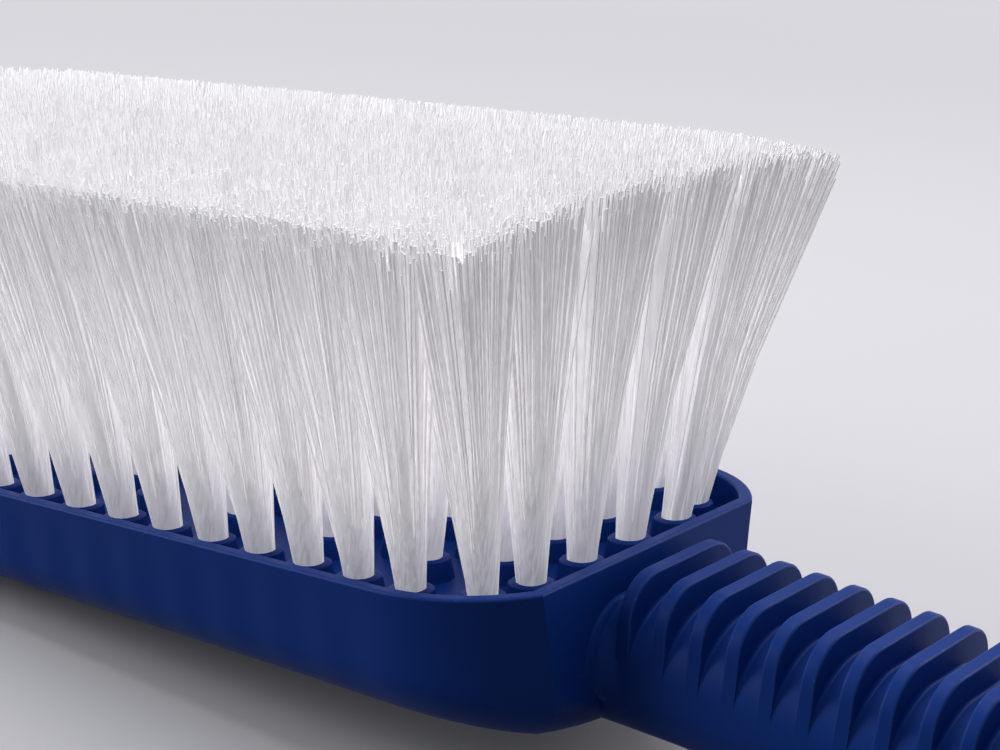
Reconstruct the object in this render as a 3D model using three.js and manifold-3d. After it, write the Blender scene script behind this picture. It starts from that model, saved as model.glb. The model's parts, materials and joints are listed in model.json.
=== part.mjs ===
// Hand-held water flow brush: a trough-shaped head full of bristle tufts, moulded in one with a
// ribbed hollow handle, a quarter-turn tap in the handle and a swivel hose coupling at its end.
// Millimetres. The head is drawn level: x = 0 is its handle end, z = 0 its rim, bristles up,
// and +X runs along the handle. At the end the brush is laid down as it rests on a table.
import * as THREE from 'three';
import { mergeVertices } from 'three/addons/utils/BufferGeometryUtils.js';
import Module from 'manifold-3d';

const wasm = await Module();
wasm.setup();

// Clearances between pieces
const FIT = 0.3;
const RUN_FIT = 0.4;

// Head moulding
const HEAD_LENGTH = 190;
const HEAD_WIDTH = 80;
const CORNER_RADIUS = 24;
const END_FLAT_WIDTH = 55;
const TIP_DEPTH = 16.5;
const ROOT_DEPTH = 27;
const BELLY_FALL = 0.84;
const BELLY_RISE = 1.5;
const WALL = 2.2;
const BACK_DRAFT = 1.3;
const BACK_EDGE_RADIUS = 6.5;
const CHAMBER_EDGE_RADIUS = 1.5;

// Tuft plate, its seal and its ledge
const PLATE_RECESS = 5.5;
const PLATE_THICKNESS = 2.6;
const GASKET_THICKNESS = 1.2;
const LEDGE_WIDTH = 3;
const BOSS_HEIGHT = 3.3;
const BOSS_TOP_RADIUS = 3.3;
const BOSS_FOOT_RADIUS = 4.1;
const BOSS_SIDES = 5;
const JET_RADIUS = 1.6;

// Bristle tufts
const TUFT_EDGE_DISTANCE = 9;
const TUFT_END_DISTANCE = 8.7;
const SIDE_PITCH = 9.9;
const ROW_PITCH = 12.5;
const COLUMN_PITCH = 9.75;
const CORNER_TUFT_ANGLE = 42;
const TUFT_RADIUS = 1.9;
const STRAND_RADIUS = 0.78;
const STRAND_TIP_RADIUS = 2.3;
const STRAND_TIP_SPREAD = 2.7;
const BRISTLE_LENGTH = 56;
const SIDE_FLARE = 16;
const END_FLARE = 9;
const ROOT_SLICE_THICKNESS = 1;

// Handle: the axis is the line of the water bore
const AXIS_DEPTH = 15;
const START_DROOP = 4;
const END_DROOP = 8;
const DROOP_RUN = 50;
const HANDLE_LENGTH = 172;
const HANDLE_WIDTH = 28;
const HANDLE_TOP = 14.5;
const HANDLE_BOTTOM = 11.5;
const HANDLE_CORNER = 6.5;
const HANDLE_LOW_CORNER = 9;
const CORE_TOP = 10;
const NECK_FILLET = 4;
const BORE_RADIUS = 4.5;
const RIB_COUNT = 18;
const RIB_PITCH = 6;
const RIB_THICKNESS = 2.2;
const FIRST_RIB = 3.7;
const BARREL_RADIUS = 15;
const BARREL_BLEND = 9;

// Quarter-turn tap across the barrel
const TAP_FROM_END = 35;
const PLUG_RADIUS = 7;
const TAP_BOSS_RADIUS = 10.5;
const TAP_BOSS_HEIGHT = 1;
const CLIP_POCKET_RADIUS = 9.5;
const CLIP_POCKET_DEPTH = 4.5;
const CLIP_THICKNESS = 1;
const CLIP_WIDTH = 1.8;
const PLUG_FOOT = 2;
const O_RING_SECTION = 1.7;
const O_RING_SQUEEZE = 0.05;
const O_RING_FROM_PORT = 4.2;
const SEAT_WALL = 1.8;
const SEAT_LENGTH = 2.4;
const STEM_WIDTH = 8;
const STEM_LENGTH = 5.4;
const THRUST_WASHER_THICKNESS = 0.8;
const THRUST_WASHER_RADIUS = 9;
const LEVER_HUB_RADIUS = 9.5;
const LEVER_HUB_HEIGHT = 8;
const LEVER_LENGTH = 36;
const LEVER_TIP_RADIUS = 4.5;
const LEVER_THICKNESS = 4.5;
const SCREW_RADIUS = 1.5;
const SCREW_HEAD_RADIUS = 3.6;
const SCREW_HEAD_HEIGHT = 1.6;
const SCREW_LENGTH = 8;

// Hose coupling at the end of the handle
const TAIL_RADIUS = 8;
const TAIL_DEPTH = 16;
const TAIL_NECK = 6.6;
const TAIL_FLANGE_RADIUS = 11.5;
const TAIL_FLANGE_THICKNESS = 2.5;
const TAIL_RING_SETBACK = 3;
const NUT_RADIUS = 16;
const NUT_LOBE = 0.6;
const NUT_LOBES = 14;
const NUT_LENGTH = 24;
const NUT_LIP_THICKNESS = 3;
const THREAD_RADIUS = 13;
const SLIP_RING_THICKNESS = 1.4;
const FILTER_THICKNESS = 0.8;
const FILTER_HOLE_RADIUS = 1.3;
const HOSE_WASHER_THICKNESS = 3;
const HOSE_WASHER_BORE = 7.5;

// Facets of round shapes
const SHOWN_ROUND = 24;
const ROUND = 16;
const SMALL_ROUND = 12;
const RING_ROUND = 6;

// Heights and stations that follow from the sizes above
const radians = THREE.MathUtils.degToRad;
const CORNER_SETBACK = cornerSetback();
const PLATE_TOP = -PLATE_RECESS;
const PLATE_BOTTOM = PLATE_TOP - PLATE_THICKNESS;
const LEDGE_Z = PLATE_BOTTOM - GASKET_THICKNESS - 2 * FIT;
const CHAMBER_INSET = WALL + LEDGE_WIDTH;
const SLICE_TOP = PLATE_BOTTOM - FIT;
const BOSS_TOP = PLATE_TOP + BOSS_HEIGHT;
const GRIP_END = FIRST_RIB + (RIB_COUNT - 1) * RIB_PITCH + RIB_THICKNESS / 2;
const TAP_STATION = HANDLE_LENGTH - TAP_FROM_END;
const PLUG_HOLE_RADIUS = PLUG_RADIUS + RUN_FIT;
const BOSS_PAD_Z = BARREL_RADIUS + TAP_BOSS_HEIGHT;

// Materials

function plastic(color, roughness) {
  return new THREE.MeshStandardMaterial({ color, roughness, metalness: 0 });
}

function metal(color, roughness) {
  return new THREE.MeshStandardMaterial({ color, roughness, metalness: 1 });
}

const bluePlastic = () => plastic('#16327e', 0.35);
const whiteBristle = () => plastic('#eceaf0', 0.6);
const blackRubber = () => plastic('#1b1b1d', 0.8);
const greyPlastic = () => plastic('#c9ccd2', 0.4);
const steel = () => metal('#b9bcc2', 0.3);

// Solids: closed geometries joined and cut as manifolds

function signedVolume(position, index) {
  const corners = [new THREE.Vector3(), new THREE.Vector3(), new THREE.Vector3()];
  let volume = 0;
  for (let i = 0; i < index.count; i += 3) {
    corners.forEach((corner, k) => corner.fromBufferAttribute(position, index.getX(i + k)));
    volume += corners[0].dot(corners[1].clone().cross(corners[2])) / 6;
  }
  return volume;
}

function solid(geometry) {
  const bare = geometry.clone();
  bare.deleteAttribute('normal');
  bare.deleteAttribute('uv');
  const merged = mergeVertices(bare, 1e-4);
  const corners = [];
  const index = merged.index;
  const inward = signedVolume(merged.attributes.position, index) < 0;
  for (let i = 0; i < index.count; i += 3) {
    const [a, b, c] = [index.getX(i), index.getX(i + 1), index.getX(i + 2)];
    if (a !== b && b !== c && c !== a) corners.push(a, ...(inward ? [c, b] : [b, c]));
  }
  return new wasm.Manifold(new wasm.Mesh({
    numProp: 3,
    vertProperties: new Float32Array(merged.attributes.position.array),
    triVerts: new Uint32Array(corners),
  }));
}

function geometryOf(manifold) {
  const mesh = manifold.getMesh();
  const geometry = new THREE.BufferGeometry();
  geometry.setAttribute('position', new THREE.BufferAttribute(mesh.vertProperties.slice(), 3));
  geometry.setIndex(new THREE.BufferAttribute(mesh.triVerts.slice(), 1));
  return geometry;
}

const join = (solids) => solids.reduce((whole, next) => whole.add(next));
const cut = (base, tools) => tools.reduce((rest, tool) => rest.subtract(tool), base);

// A closed skin over convex rings of equal point count, each end closed by a fan
function loft(rings) {
  const count = rings[0].length;
  const points = rings.flat();
  const faces = [];
  for (let r = 0; r + 1 < rings.length; r += 1) {
    for (let k = 0; k < count; k += 1) {
      const a = r * count + k;
      const b = r * count + (k + 1) % count;
      faces.push(a, b, b + count, a, b + count, a + count);
    }
  }
  const last = (rings.length - 1) * count;
  for (let k = 1; k + 1 < count; k += 1) {
    faces.push(0, k + 1, k, last, last + k, last + k + 1);
  }
  const geometry = new THREE.BufferGeometry().setFromPoints(points);
  geometry.setIndex(faces);
  return geometry;
}

// A revolved profile of [radius, height] corners about Z, a ring if it stays off the axis
function revolve(profile, sides = ROUND) {
  const closed = [...profile, profile[0]].map(([r, z]) => new THREE.Vector2(r, z));
  return solid(new THREE.LatheGeometry(closed, sides).rotateX(Math.PI / 2));
}

function disc(radius, low, high, sides = ROUND) {
  const height = high - low;
  const geometry = new THREE.CylinderGeometry(radius, radius, height, sides).rotateX(Math.PI / 2);
  return solid(geometry.translate(0, 0, low + height / 2));
}

function ring(inner, outer, low, high, sides = ROUND) {
  return revolve([[inner, low], [outer, low], [outer, high], [inner, high]], sides);
}

function oRing(innerRadius, height) {
  const tube = O_RING_SECTION / 2;
  return solid(new THREE.TorusGeometry(innerRadius + tube, tube, RING_ROUND, ROUND).translate(0, 0, height));
}

function block(low, high) {
  const size = new THREE.Vector3().subVectors(high, low);
  const middle = new THREE.Vector3().addVectors(high, low).divideScalar(2);
  return solid(new THREE.BoxGeometry(size.x, size.y, size.z).translate(middle.x, middle.y, middle.z));
}

// Turns a solid drawn about Z so that it lies about X, its height running along +X
const alongX = (manifold) => solid(geometryOf(manifold).rotateY(Math.PI / 2));

function placed(manifold, matrix) {
  return solid(geometryOf(manifold).applyMatrix4(matrix));
}

function addPiece(group, name, manifold, material) {
  const mesh = new THREE.Mesh(geometryOf(manifold), material);
  mesh.name = name;
  group.add(mesh);
}

// Head outline: straight sides, corner arcs and flat ends that the arcs meet at a crease

function cornerSetback() {
  const fall = (HEAD_WIDTH - END_FLAT_WIDTH) / 2;
  return Math.sqrt(CORNER_RADIUS ** 2 - (CORNER_RADIUS - fall) ** 2);
}

const ARC_STEPS = 4;
const SIDE_STEPS = 4;
const END_STEPS = 3;

// The quarter from the middle of the +Y side to the middle of the handle end
function outlineQuarter(inset, endInset) {
  const radius = CORNER_RADIUS - inset;
  const centreX = HEAD_LENGTH / 2 - CORNER_SETBACK;
  const centreY = HEAD_WIDTH / 2 - CORNER_RADIUS;
  const sweep = Math.asin(Math.min(1, (CORNER_SETBACK - endInset) / radius));
  const points = [];
  for (let i = 0; i < SIDE_STEPS; i += 1) {
    points.push([centreX * i / SIDE_STEPS, centreY + radius]);
  }
  for (let i = 0; i <= ARC_STEPS; i += 1) {
    const angle = sweep * i / ARC_STEPS;
    points.push([centreX + radius * Math.sin(angle), centreY + radius * Math.cos(angle)]);
  }
  const crease = centreY + radius * Math.cos(sweep);
  for (let i = 1; i <= END_STEPS; i += 1) {
    points.push([HEAD_LENGTH / 2 - endInset, crease * (1 - i / END_STEPS)]);
  }
  return points;
}

// The whole outline, inset from the rim, about the middle of the head
function headOutline(inset, endInset = inset) {
  const quarter = outlineQuarter(inset, endInset);
  const inner = quarter.slice(1, -1).reverse();
  const half = [...quarter, ...inner.map(([x, y]) => [x, -y]), [quarter[0][0], -quarter[0][1]]];
  const other = half.slice(1, -1).reverse().map(([x, y]) => [-x, y]);
  return [...half, ...other];
}

const headX = (x) => x - HEAD_LENGTH / 2;

// Depth of the back under a point of the head, deepest at the middle of the handle end
function backDepth(x, y) {
  const along = (x + HEAD_LENGTH / 2) / HEAD_LENGTH;
  const across = 1 - BELLY_FALL * (2 * y / HEAD_WIDTH) ** 2;
  return TIP_DEPTH + (ROOT_DEPTH - TIP_DEPTH) * along ** BELLY_RISE * across;
}

// A trough-shaped solid: a wall with draft, a rounded edge and a crowned back
function trough({ inset, lift, edge, edgeSteps, top }) {
  const rings = [];
  const addRing = (endInset, draft, shrink, height) => {
    const points = headOutline(endInset + draft, endInset).map(([x, y]) => {
      const [px, py] = [x * (1 - (1 - shrink) * HEAD_WIDTH / HEAD_LENGTH), y * shrink];
      return new THREE.Vector3(headX(px), py, height(backDepth(px, py) - lift));
    });
    rings.push(points);
  };
  addRing(inset, 0, 1, () => top);
  for (let i = 0; i <= edgeSteps; i += 1) {
    const angle = Math.PI / 2 * i / edgeSteps;
    const endInset = inset + edge * (1 - Math.cos(angle));
    addRing(endInset, BACK_DRAFT, 1, (depth) => -(depth - edge * (1 - Math.sin(angle))));
  }
  for (const shrink of [0.6, 0.15]) {
    addRing(inset + edge, BACK_DRAFT, shrink, (depth) => -depth);
  }
  return solid(loft(rings));
}

// A flat slab with the head's outline, between two heights
function outlineSlab(inset, low, high) {
  const at = (z) => headOutline(inset).map(([x, y]) => new THREE.Vector3(headX(x), y, z));
  return solid(loft([at(low), at(high)]));
}

// Handle axis: droops away from the head along an arc, then runs straight

function axisFrame(station) {
  const start = radians(START_DROOP);
  const bend = radians(END_DROOP - START_DROOP) / DROOP_RUN;
  const curved = THREE.MathUtils.clamp(station, 0, DROOP_RUN);
  const angle = start + bend * curved;
  const straight = station - curved;
  return {
    angle,
    x: (Math.sin(angle) - Math.sin(start)) / bend + straight * Math.cos(angle),
    z: -AXIS_DEPTH + (Math.cos(angle) - Math.cos(start)) / bend - straight * Math.sin(angle),
  };
}

function axisMatrix(station) {
  const { angle, x, z } = axisFrame(station);
  return new THREE.Matrix4().makeRotationY(angle).setPosition(x, 0, z);
}

// Handle section: round below, with rounded upper corners
function gripRing({ width, top, bottom, corner, lowCorner }) {
  const half = width / 2;
  const points = [];
  const LOW_STEPS = 4;
  const CORNER_STEPS = 3;
  for (const side of [2, 3]) {
    for (let i = 0; i <= LOW_STEPS; i += 1) {
      const angle = Math.PI / 2 * (side + i / LOW_STEPS);
      const centre = (half - lowCorner) * (side === 2 ? -1 : 1);
      points.push([centre + lowCorner * Math.cos(angle), lowCorner - bottom + lowCorner * Math.sin(angle)]);
    }
  }
  for (const side of [0, 1]) {
    for (let i = 0; i <= CORNER_STEPS; i += 1) {
      const angle = Math.PI / 2 * (side + i / CORNER_STEPS);
      const centre = (half - corner) * (side ? -1 : 1);
      points.push([centre + corner * Math.cos(angle), top - corner + corner * Math.sin(angle)]);
    }
  }
  return points;
}

function sweepHandle(stations) {
  const rings = stations.map(({ station, section }) => {
    const matrix = axisMatrix(station);
    return gripRing(section).map(([y, z]) => new THREE.Vector3(0, y, z).applyMatrix4(matrix));
  });
  return solid(loft(rings));
}

const SHARP = 0.05;
const gripSection = {
  width: HANDLE_WIDTH, top: HANDLE_TOP, bottom: HANDLE_BOTTOM,
  corner: HANDLE_CORNER, lowCorner: HANDLE_LOW_CORNER,
};
const coreSection = {
  ...gripSection, width: HANDLE_WIDTH + SHARP, top: CORE_TOP, corner: CORE_TOP - SHARP,
};
const roundSection = (radius) => ({
  width: 2 * radius, top: radius, bottom: radius, corner: radius - SHARP, lowCorner: radius - SHARP,
});

const NECK_ROOT = -2 * BACK_EDGE_RADIUS;

function bendStations(first, last, section) {
  const steps = 4;
  const list = [{ station: first, section }];
  for (let i = 0; i <= steps; i += 1) list.push({ station: DROOP_RUN * i / steps, section });
  return [...list, { station: last, section }];
}

function handleOuter() {
  const barrelStart = GRIP_END + BARREL_BLEND;
  return sweepHandle([
    ...bendStations(NECK_ROOT, GRIP_END, gripSection),
    { station: barrelStart, section: roundSection(BARREL_RADIUS) },
    { station: HANDLE_LENGTH, section: roundSection(BARREL_RADIUS) },
  ]);
}

// Concave fillet where the handle leaves the end of the head
function neckFillet() {
  const steps = 5;
  const stations = [];
  for (let i = 0; i <= steps; i += 1) {
    const station = NECK_FILLET * i / steps;
    const away = 1 - station / NECK_FILLET;
    const flare = NECK_FILLET * (1 - Math.sqrt(1 - away ** 2));
    const [top, bottom] = [CORE_TOP - FIT, HANDLE_BOTTOM - FIT - 2 * flare];
    stations.push({
      station,
      section: {
        width: HANDLE_WIDTH + 2 * flare,
        top,
        bottom,
        corner: top - SHARP,
        lowCorner: Math.min(HANDLE_LOW_CORNER, bottom - SHARP),
      },
    });
  }
  return sweepHandle([{ ...stations[0], station: NECK_ROOT }, ...stations]);
}

// Gaps between the ribs, cut down to a rounded core so that they fade out on the sides
function ribSlots() {
  const core = sweepHandle(bendStations(0, GRIP_END, coreSection));
  const slotWidth = RIB_PITCH - RIB_THICKNESS;
  const slots = [];
  for (let i = -1; i + 1 < RIB_COUNT; i += 1) {
    const low = new THREE.Vector3(-slotWidth / 2, -HANDLE_WIDTH, 0);
    const high = new THREE.Vector3(slotWidth / 2, HANDLE_WIDTH, 2 * HANDLE_TOP);
    slots.push(placed(block(low, high), axisMatrix(FIRST_RIB + (i + 0.5) * RIB_PITCH)));
  }
  return join(slots).subtract(core);
}

function waterBore() {
  const start = -CHAMBER_INSET - BORE_RADIUS;
  return sweepHandle(bendStations(start, HANDLE_LENGTH + FIT, roundSection(BORE_RADIUS)));
}

const tapMatrix = axisMatrix(TAP_STATION);
const endMatrix = axisMatrix(HANDLE_LENGTH);
const SEAT_RADIUS = BORE_RADIUS + SEAT_WALL;
const SEAT_REACH = PLUG_HOLE_RADIUS + SEAT_LENGTH;
const PLUG_LOW = -BARREL_RADIUS + PLUG_FOOT;
const CLIP_FLOOR = -BARREL_RADIUS + CLIP_POCKET_DEPTH;

function makeBody() {
  const shell = trough({ inset: 0, lift: 0, edge: BACK_EDGE_RADIUS, edgeSteps: 4, top: 0 });
  const pocket = outlineSlab(WALL, LEDGE_Z, WALL);
  const chamber = trough({
    inset: CHAMBER_INSET, lift: WALL, edge: CHAMBER_EDGE_RADIUS, edgeSteps: 1, top: LEDGE_Z + WALL,
  });
  const grip = handleOuter().subtract(ribSlots());
  const tapBoss = placed(disc(TAP_BOSS_RADIUS, 0, BOSS_PAD_Z, SHOWN_ROUND), tapMatrix);
  const tapHole = placed(disc(PLUG_HOLE_RADIUS, -2 * BARREL_RADIUS, 2 * BARREL_RADIUS), tapMatrix);
  const clipPocket = placed(disc(CLIP_POCKET_RADIUS, -2 * BARREL_RADIUS, CLIP_FLOOR), tapMatrix);
  const seatBore = alongX(disc(SEAT_RADIUS + FIT, -SEAT_REACH - FIT, SEAT_REACH + FIT));
  const tailHole = alongX(disc(TAIL_RADIUS + FIT, -TAIL_DEPTH, FIT));
  return cut(join([shell, grip, neckFillet(), tapBoss]), [
    pocket, chamber, waterBore(), tapHole, clipPocket,
    placed(seatBore, tapMatrix), placed(tailHole, endMatrix),
  ]);
}

// Tuft places: a row round the edge and staggered columns inside it

function evenly(from, to, pitch) {
  const steps = Math.max(1, Math.round(Math.abs(to - from) / pitch));
  return Array.from({ length: steps + 1 }, (_, i) => from + (to - from) * i / steps);
}

function tuftPlaces() {
  const sideY = HEAD_WIDTH / 2 - TUFT_EDGE_DISTANCE;
  const endX = HEAD_LENGTH / 2 - TUFT_END_DISTANCE;
  const arcX = HEAD_LENGTH / 2 - CORNER_SETBACK;
  const arcY = HEAD_WIDTH / 2 - CORNER_RADIUS;
  const arcRadius = CORNER_RADIUS - TUFT_EDGE_DISTANCE;
  const turn = radians(CORNER_TUFT_ANGLE);
  const places = [];
  for (const x of evenly(-arcX, arcX, SIDE_PITCH)) places.push([x, sideY], [x, -sideY]);
  for (const signX of [1, -1]) {
    for (const signY of [1, -1]) {
      places.push([signX * (arcX + arcRadius * Math.sin(turn)), signY * (arcY + arcRadius * Math.cos(turn))]);
    }
    for (const row of [-1.5, -0.5, 0.5, 1.5]) places.push([signX * endX, row * ROW_PITCH]);
  }
  const firstColumn = endX - COLUMN_PITCH;
  evenly(-firstColumn, firstColumn, COLUMN_PITCH).forEach((x, i) => {
    const rows = i % 2 ? [-1.5, -0.5, 0.5, 1.5] : [-1, 0, 1];
    for (const row of rows) places.push([x, row * ROW_PITCH]);
  });
  return places;
}

function jetPlaces() {
  const firstColumn = HEAD_LENGTH / 2 - TUFT_END_DISTANCE - COLUMN_PITCH;
  const columns = evenly(-firstColumn, firstColumn, COLUMN_PITCH);
  return columns.filter((x, i) => i % 2).map((x) => [x, 0]);
}

const HOLE_RADIUS = (TUFT_RADIUS + FIT) / Math.cos(Math.PI / BOSS_SIDES);

function makeTuftPlate() {
  const slab = outlineSlab(WALL + FIT, PLATE_BOTTOM, PLATE_TOP);
  const bosses = tuftPlaces().map(([x, y]) => {
    const height = BOSS_HEIGHT + PLATE_THICKNESS / 2;
    const cone = new THREE.CylinderGeometry(BOSS_TOP_RADIUS, BOSS_FOOT_RADIUS, height, BOSS_SIDES);
    return solid(cone.rotateX(Math.PI / 2).translate(headX(x), y, BOSS_TOP - height / 2));
  });
  const through = (radius, sides) => disc(radius, PLATE_BOTTOM - FIT, BOSS_TOP + FIT, sides);
  const tuftHole = geometryOf(through(HOLE_RADIUS, BOSS_SIDES));
  const jetHole = geometryOf(through(JET_RADIUS, BOSS_SIDES));
  const holes = tuftPlaces().map(([x, y]) => solid(tuftHole.clone().translate(headX(x), y, 0)));
  const jets = jetPlaces().map(([x, y]) => solid(jetHole.clone().translate(headX(x), y, 0)));
  return join([slab, ...bosses]).subtract(join([...holes, ...jets]));
}

function makePlateGasket() {
  const low = LEDGE_Z + FIT;
  const outer = outlineSlab(WALL + FIT, low, low + GASKET_THICKNESS);
  return outer.subtract(outlineSlab(CHAMBER_INSET - FIT, low - FIT, low + GASKET_THICKNESS + FIT));
}

// Bristles: each tuft is three strands that leave their boss upright and then fan out, in one
// bank with the slice of the backing that roots them

const STRANDS = 3;
const STRAND_SIDES = 3;

function strandRing(x, y, z, radius) {
  return Array.from({ length: STRAND_SIDES }, (_, k) => {
    const angle = 2 * Math.PI * k / STRAND_SIDES;
    return new THREE.Vector3(x + radius * Math.cos(angle), y + radius * Math.sin(angle), z);
  });
}

// Each tip moves out from the middle in proportion to its place, so that no strands cross
function flared([x, y]) {
  const sideY = HEAD_WIDTH / 2 - TUFT_EDGE_DISTANCE;
  const endX = HEAD_LENGTH / 2 - TUFT_END_DISTANCE;
  return [x * (1 + END_FLARE / endX), y * (1 + SIDE_FLARE / sideY)];
}

function tuftStrands(place) {
  const [x, y] = place;
  const [tipX, tipY] = flared(place);
  const rootSpread = TUFT_RADIUS - STRAND_RADIUS;
  return Array.from({ length: STRANDS }, (_, k) => {
    const angle = 2 * Math.PI * (k + 0.5) / STRANDS;
    const [across, along] = [Math.cos(angle), Math.sin(angle)];
    const [rootX, rootY] = [headX(x + rootSpread * across), y + rootSpread * along];
    return solid(loft([
      strandRing(rootX, rootY, SLICE_TOP - ROOT_SLICE_THICKNESS / 2, STRAND_RADIUS),
      strandRing(rootX, rootY, BOSS_TOP, STRAND_RADIUS),
      strandRing(headX(tipX + STRAND_TIP_SPREAD * across), tipY + STRAND_TIP_SPREAD * along,
        BRISTLE_LENGTH, STRAND_TIP_RADIUS),
    ]));
  });
}

// Banks are strips along the head, parted between the rows of tufts
const BANK_EDGES = [-Infinity, -1.25, -0.25, 1.25, Infinity].map((row) => row * ROW_PITCH);
const BANKS = BANK_EDGES.length - 1;

function makeBristleBank(bank) {
  const low = Math.max(BANK_EDGES[bank], -HEAD_WIDTH) + FIT / 2;
  const high = Math.min(BANK_EDGES[bank + 1], HEAD_WIDTH) - FIT / 2;
  const places = tuftPlaces().filter(([, y]) => y > low && y < high);
  const whole = outlineSlab(CHAMBER_INSET + FIT, SLICE_TOP - ROOT_SLICE_THICKNESS, SLICE_TOP);
  const strip = block(
    new THREE.Vector3(-HEAD_LENGTH, low, 2 * SLICE_TOP),
    new THREE.Vector3(0, high, 0),
  );
  const jetHole = geometryOf(disc(JET_RADIUS, 2 * SLICE_TOP, 0, BOSS_SIDES));
  const jets = jetPlaces().map(([x, y]) => solid(jetHole.clone().translate(headX(x), y, 0)));
  const slice = whole.intersect(strip).subtract(join(jets));
  return join([slice, ...places.flatMap(tuftStrands)]);
}

// Tap: a cross-bored plug in the barrel, turned by a thumb lever

const O_RING_SEAT = PLUG_RADIUS - O_RING_SECTION + O_RING_SQUEEZE;
const O_RING_HEIGHT = BORE_RADIUS + O_RING_FROM_PORT;
const SHOULDER_Z = BOSS_PAD_Z - FIT;
const WASHER_LOW = BOSS_PAD_Z + FIT;
const HUB_LOW = WASHER_LOW + THRUST_WASHER_THICKNESS + FIT;
const HUB_TOP = HUB_LOW + LEVER_HUB_HEIGHT;
const STEM_TOP = HUB_LOW + STEM_LENGTH;
const SCREW_SEAT = HUB_TOP - SCREW_HEAD_HEIGHT;
const CLIP_TOP = CLIP_FLOOR - FIT;
const CLIP_INNER = PLUG_RADIUS - CLIP_WIDTH / 2;

function groove(floorRadius, middle, width) {
  return ring(floorRadius, PLUG_RADIUS + FIT, middle - width / 2, middle + width / 2);
}

function makeTapPlug() {
  const barrel = disc(PLUG_RADIUS, PLUG_LOW, SHOULDER_Z);
  const half = STEM_WIDTH / 2;
  const stem = block(new THREE.Vector3(-half, -half, 0), new THREE.Vector3(half, half, STEM_TOP));
  const port = alongX(disc(BORE_RADIUS, -2 * PLUG_RADIUS, 2 * PLUG_RADIUS, SMALL_ROUND));
  const screwHole = disc(SCREW_RADIUS + FIT, STEM_TOP - SCREW_LENGTH, STEM_TOP + FIT, SMALL_ROUND);
  const ringGroove = (height) => groove(O_RING_SEAT - FIT, height, O_RING_SECTION + 2 * FIT);
  const clipGroove = groove(CLIP_INNER - FIT, CLIP_TOP - CLIP_THICKNESS / 2, CLIP_THICKNESS + 2 * FIT);
  return cut(barrel.add(stem), [
    port, screwHole, ringGroove(O_RING_HEIGHT), ringGroove(-O_RING_HEIGHT), clipGroove,
  ]);
}

// Seat ring with one end hollowed to the plug
function makeTapSeat(side) {
  const blank = ring(BORE_RADIUS, SEAT_RADIUS, BORE_RADIUS / 2, SEAT_REACH);
  const seat = solid(geometryOf(alongX(blank)).rotateZ(side > 0 ? 0 : Math.PI));
  return seat.subtract(disc(PLUG_HOLE_RADIUS, -BARREL_RADIUS, BARREL_RADIUS));
}

function makeTapClip() {
  const washer = ring(CLIP_INNER, CLIP_POCKET_RADIUS - RUN_FIT, CLIP_TOP - CLIP_THICKNESS, CLIP_TOP);
  const gap = block(
    new THREE.Vector3(0, -PLUG_RADIUS / 2, -2 * BARREL_RADIUS),
    new THREE.Vector3(2 * CLIP_POCKET_RADIUS, PLUG_RADIUS / 2, 0),
  );
  return washer.subtract(gap);
}

function makeThrustWasher() {
  const bore = STEM_WIDTH * Math.SQRT1_2 + FIT;
  return ring(bore, THRUST_WASHER_RADIUS, WASHER_LOW, WASHER_LOW + THRUST_WASHER_THICKNESS);
}

function makeTapLever() {
  const outline = new THREE.Shape();
  const lean = Math.asin((LEVER_HUB_RADIUS - LEVER_TIP_RADIUS) / (LEVER_LENGTH - LEVER_TIP_RADIUS));
  const side = Math.PI / 2 - lean;
  outline.absarc(0, 0, LEVER_HUB_RADIUS, side, -side, false);
  outline.absarc(LEVER_LENGTH - LEVER_TIP_RADIUS, 0, LEVER_TIP_RADIUS, -side, side, false);
  const arm = new THREE.ExtrudeGeometry(outline, {
    depth: LEVER_THICKNESS, steps: 1, curveSegments: SMALL_ROUND, bevelEnabled: false,
  });
  const armLow = HUB_TOP - LEVER_THICKNESS;
  const half = STEM_WIDTH / 2 + FIT;
  const socketTop = STEM_TOP + FIT;
  const socket = block(new THREE.Vector3(-half, -half, 0), new THREE.Vector3(half, half, socketTop));
  const screwHole = disc(SCREW_RADIUS + FIT, 0, HUB_TOP + FIT, SMALL_ROUND);
  const headPocket = disc(SCREW_HEAD_RADIUS + FIT, SCREW_SEAT - FIT, HUB_TOP + FIT, SMALL_ROUND);
  const hub = disc(LEVER_HUB_RADIUS, HUB_LOW, HUB_TOP, SHOWN_ROUND);
  return cut(hub.add(solid(arm.translate(0, 0, armLow))), [socket, screwHole, headPocket]);
}

function makeLeverScrew() {
  const head = disc(SCREW_HEAD_RADIUS, SCREW_SEAT, HUB_TOP, SMALL_ROUND);
  const shank = disc(SCREW_RADIUS, STEM_TOP - SCREW_LENGTH + FIT, SCREW_SEAT + FIT, SMALL_ROUND);
  const slotHalf = new THREE.Vector3(SCREW_HEAD_RADIUS * 2, SCREW_RADIUS / 3, 0);
  const slot = block(
    slotHalf.clone().negate().setZ(HUB_TOP - SCREW_HEAD_HEIGHT / 2),
    slotHalf.clone().setZ(HUB_TOP + FIT),
  );
  return head.add(shank).subtract(slot);
}

// Hose coupling, drawn about Z from the end of the handle and then turned along X

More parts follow.
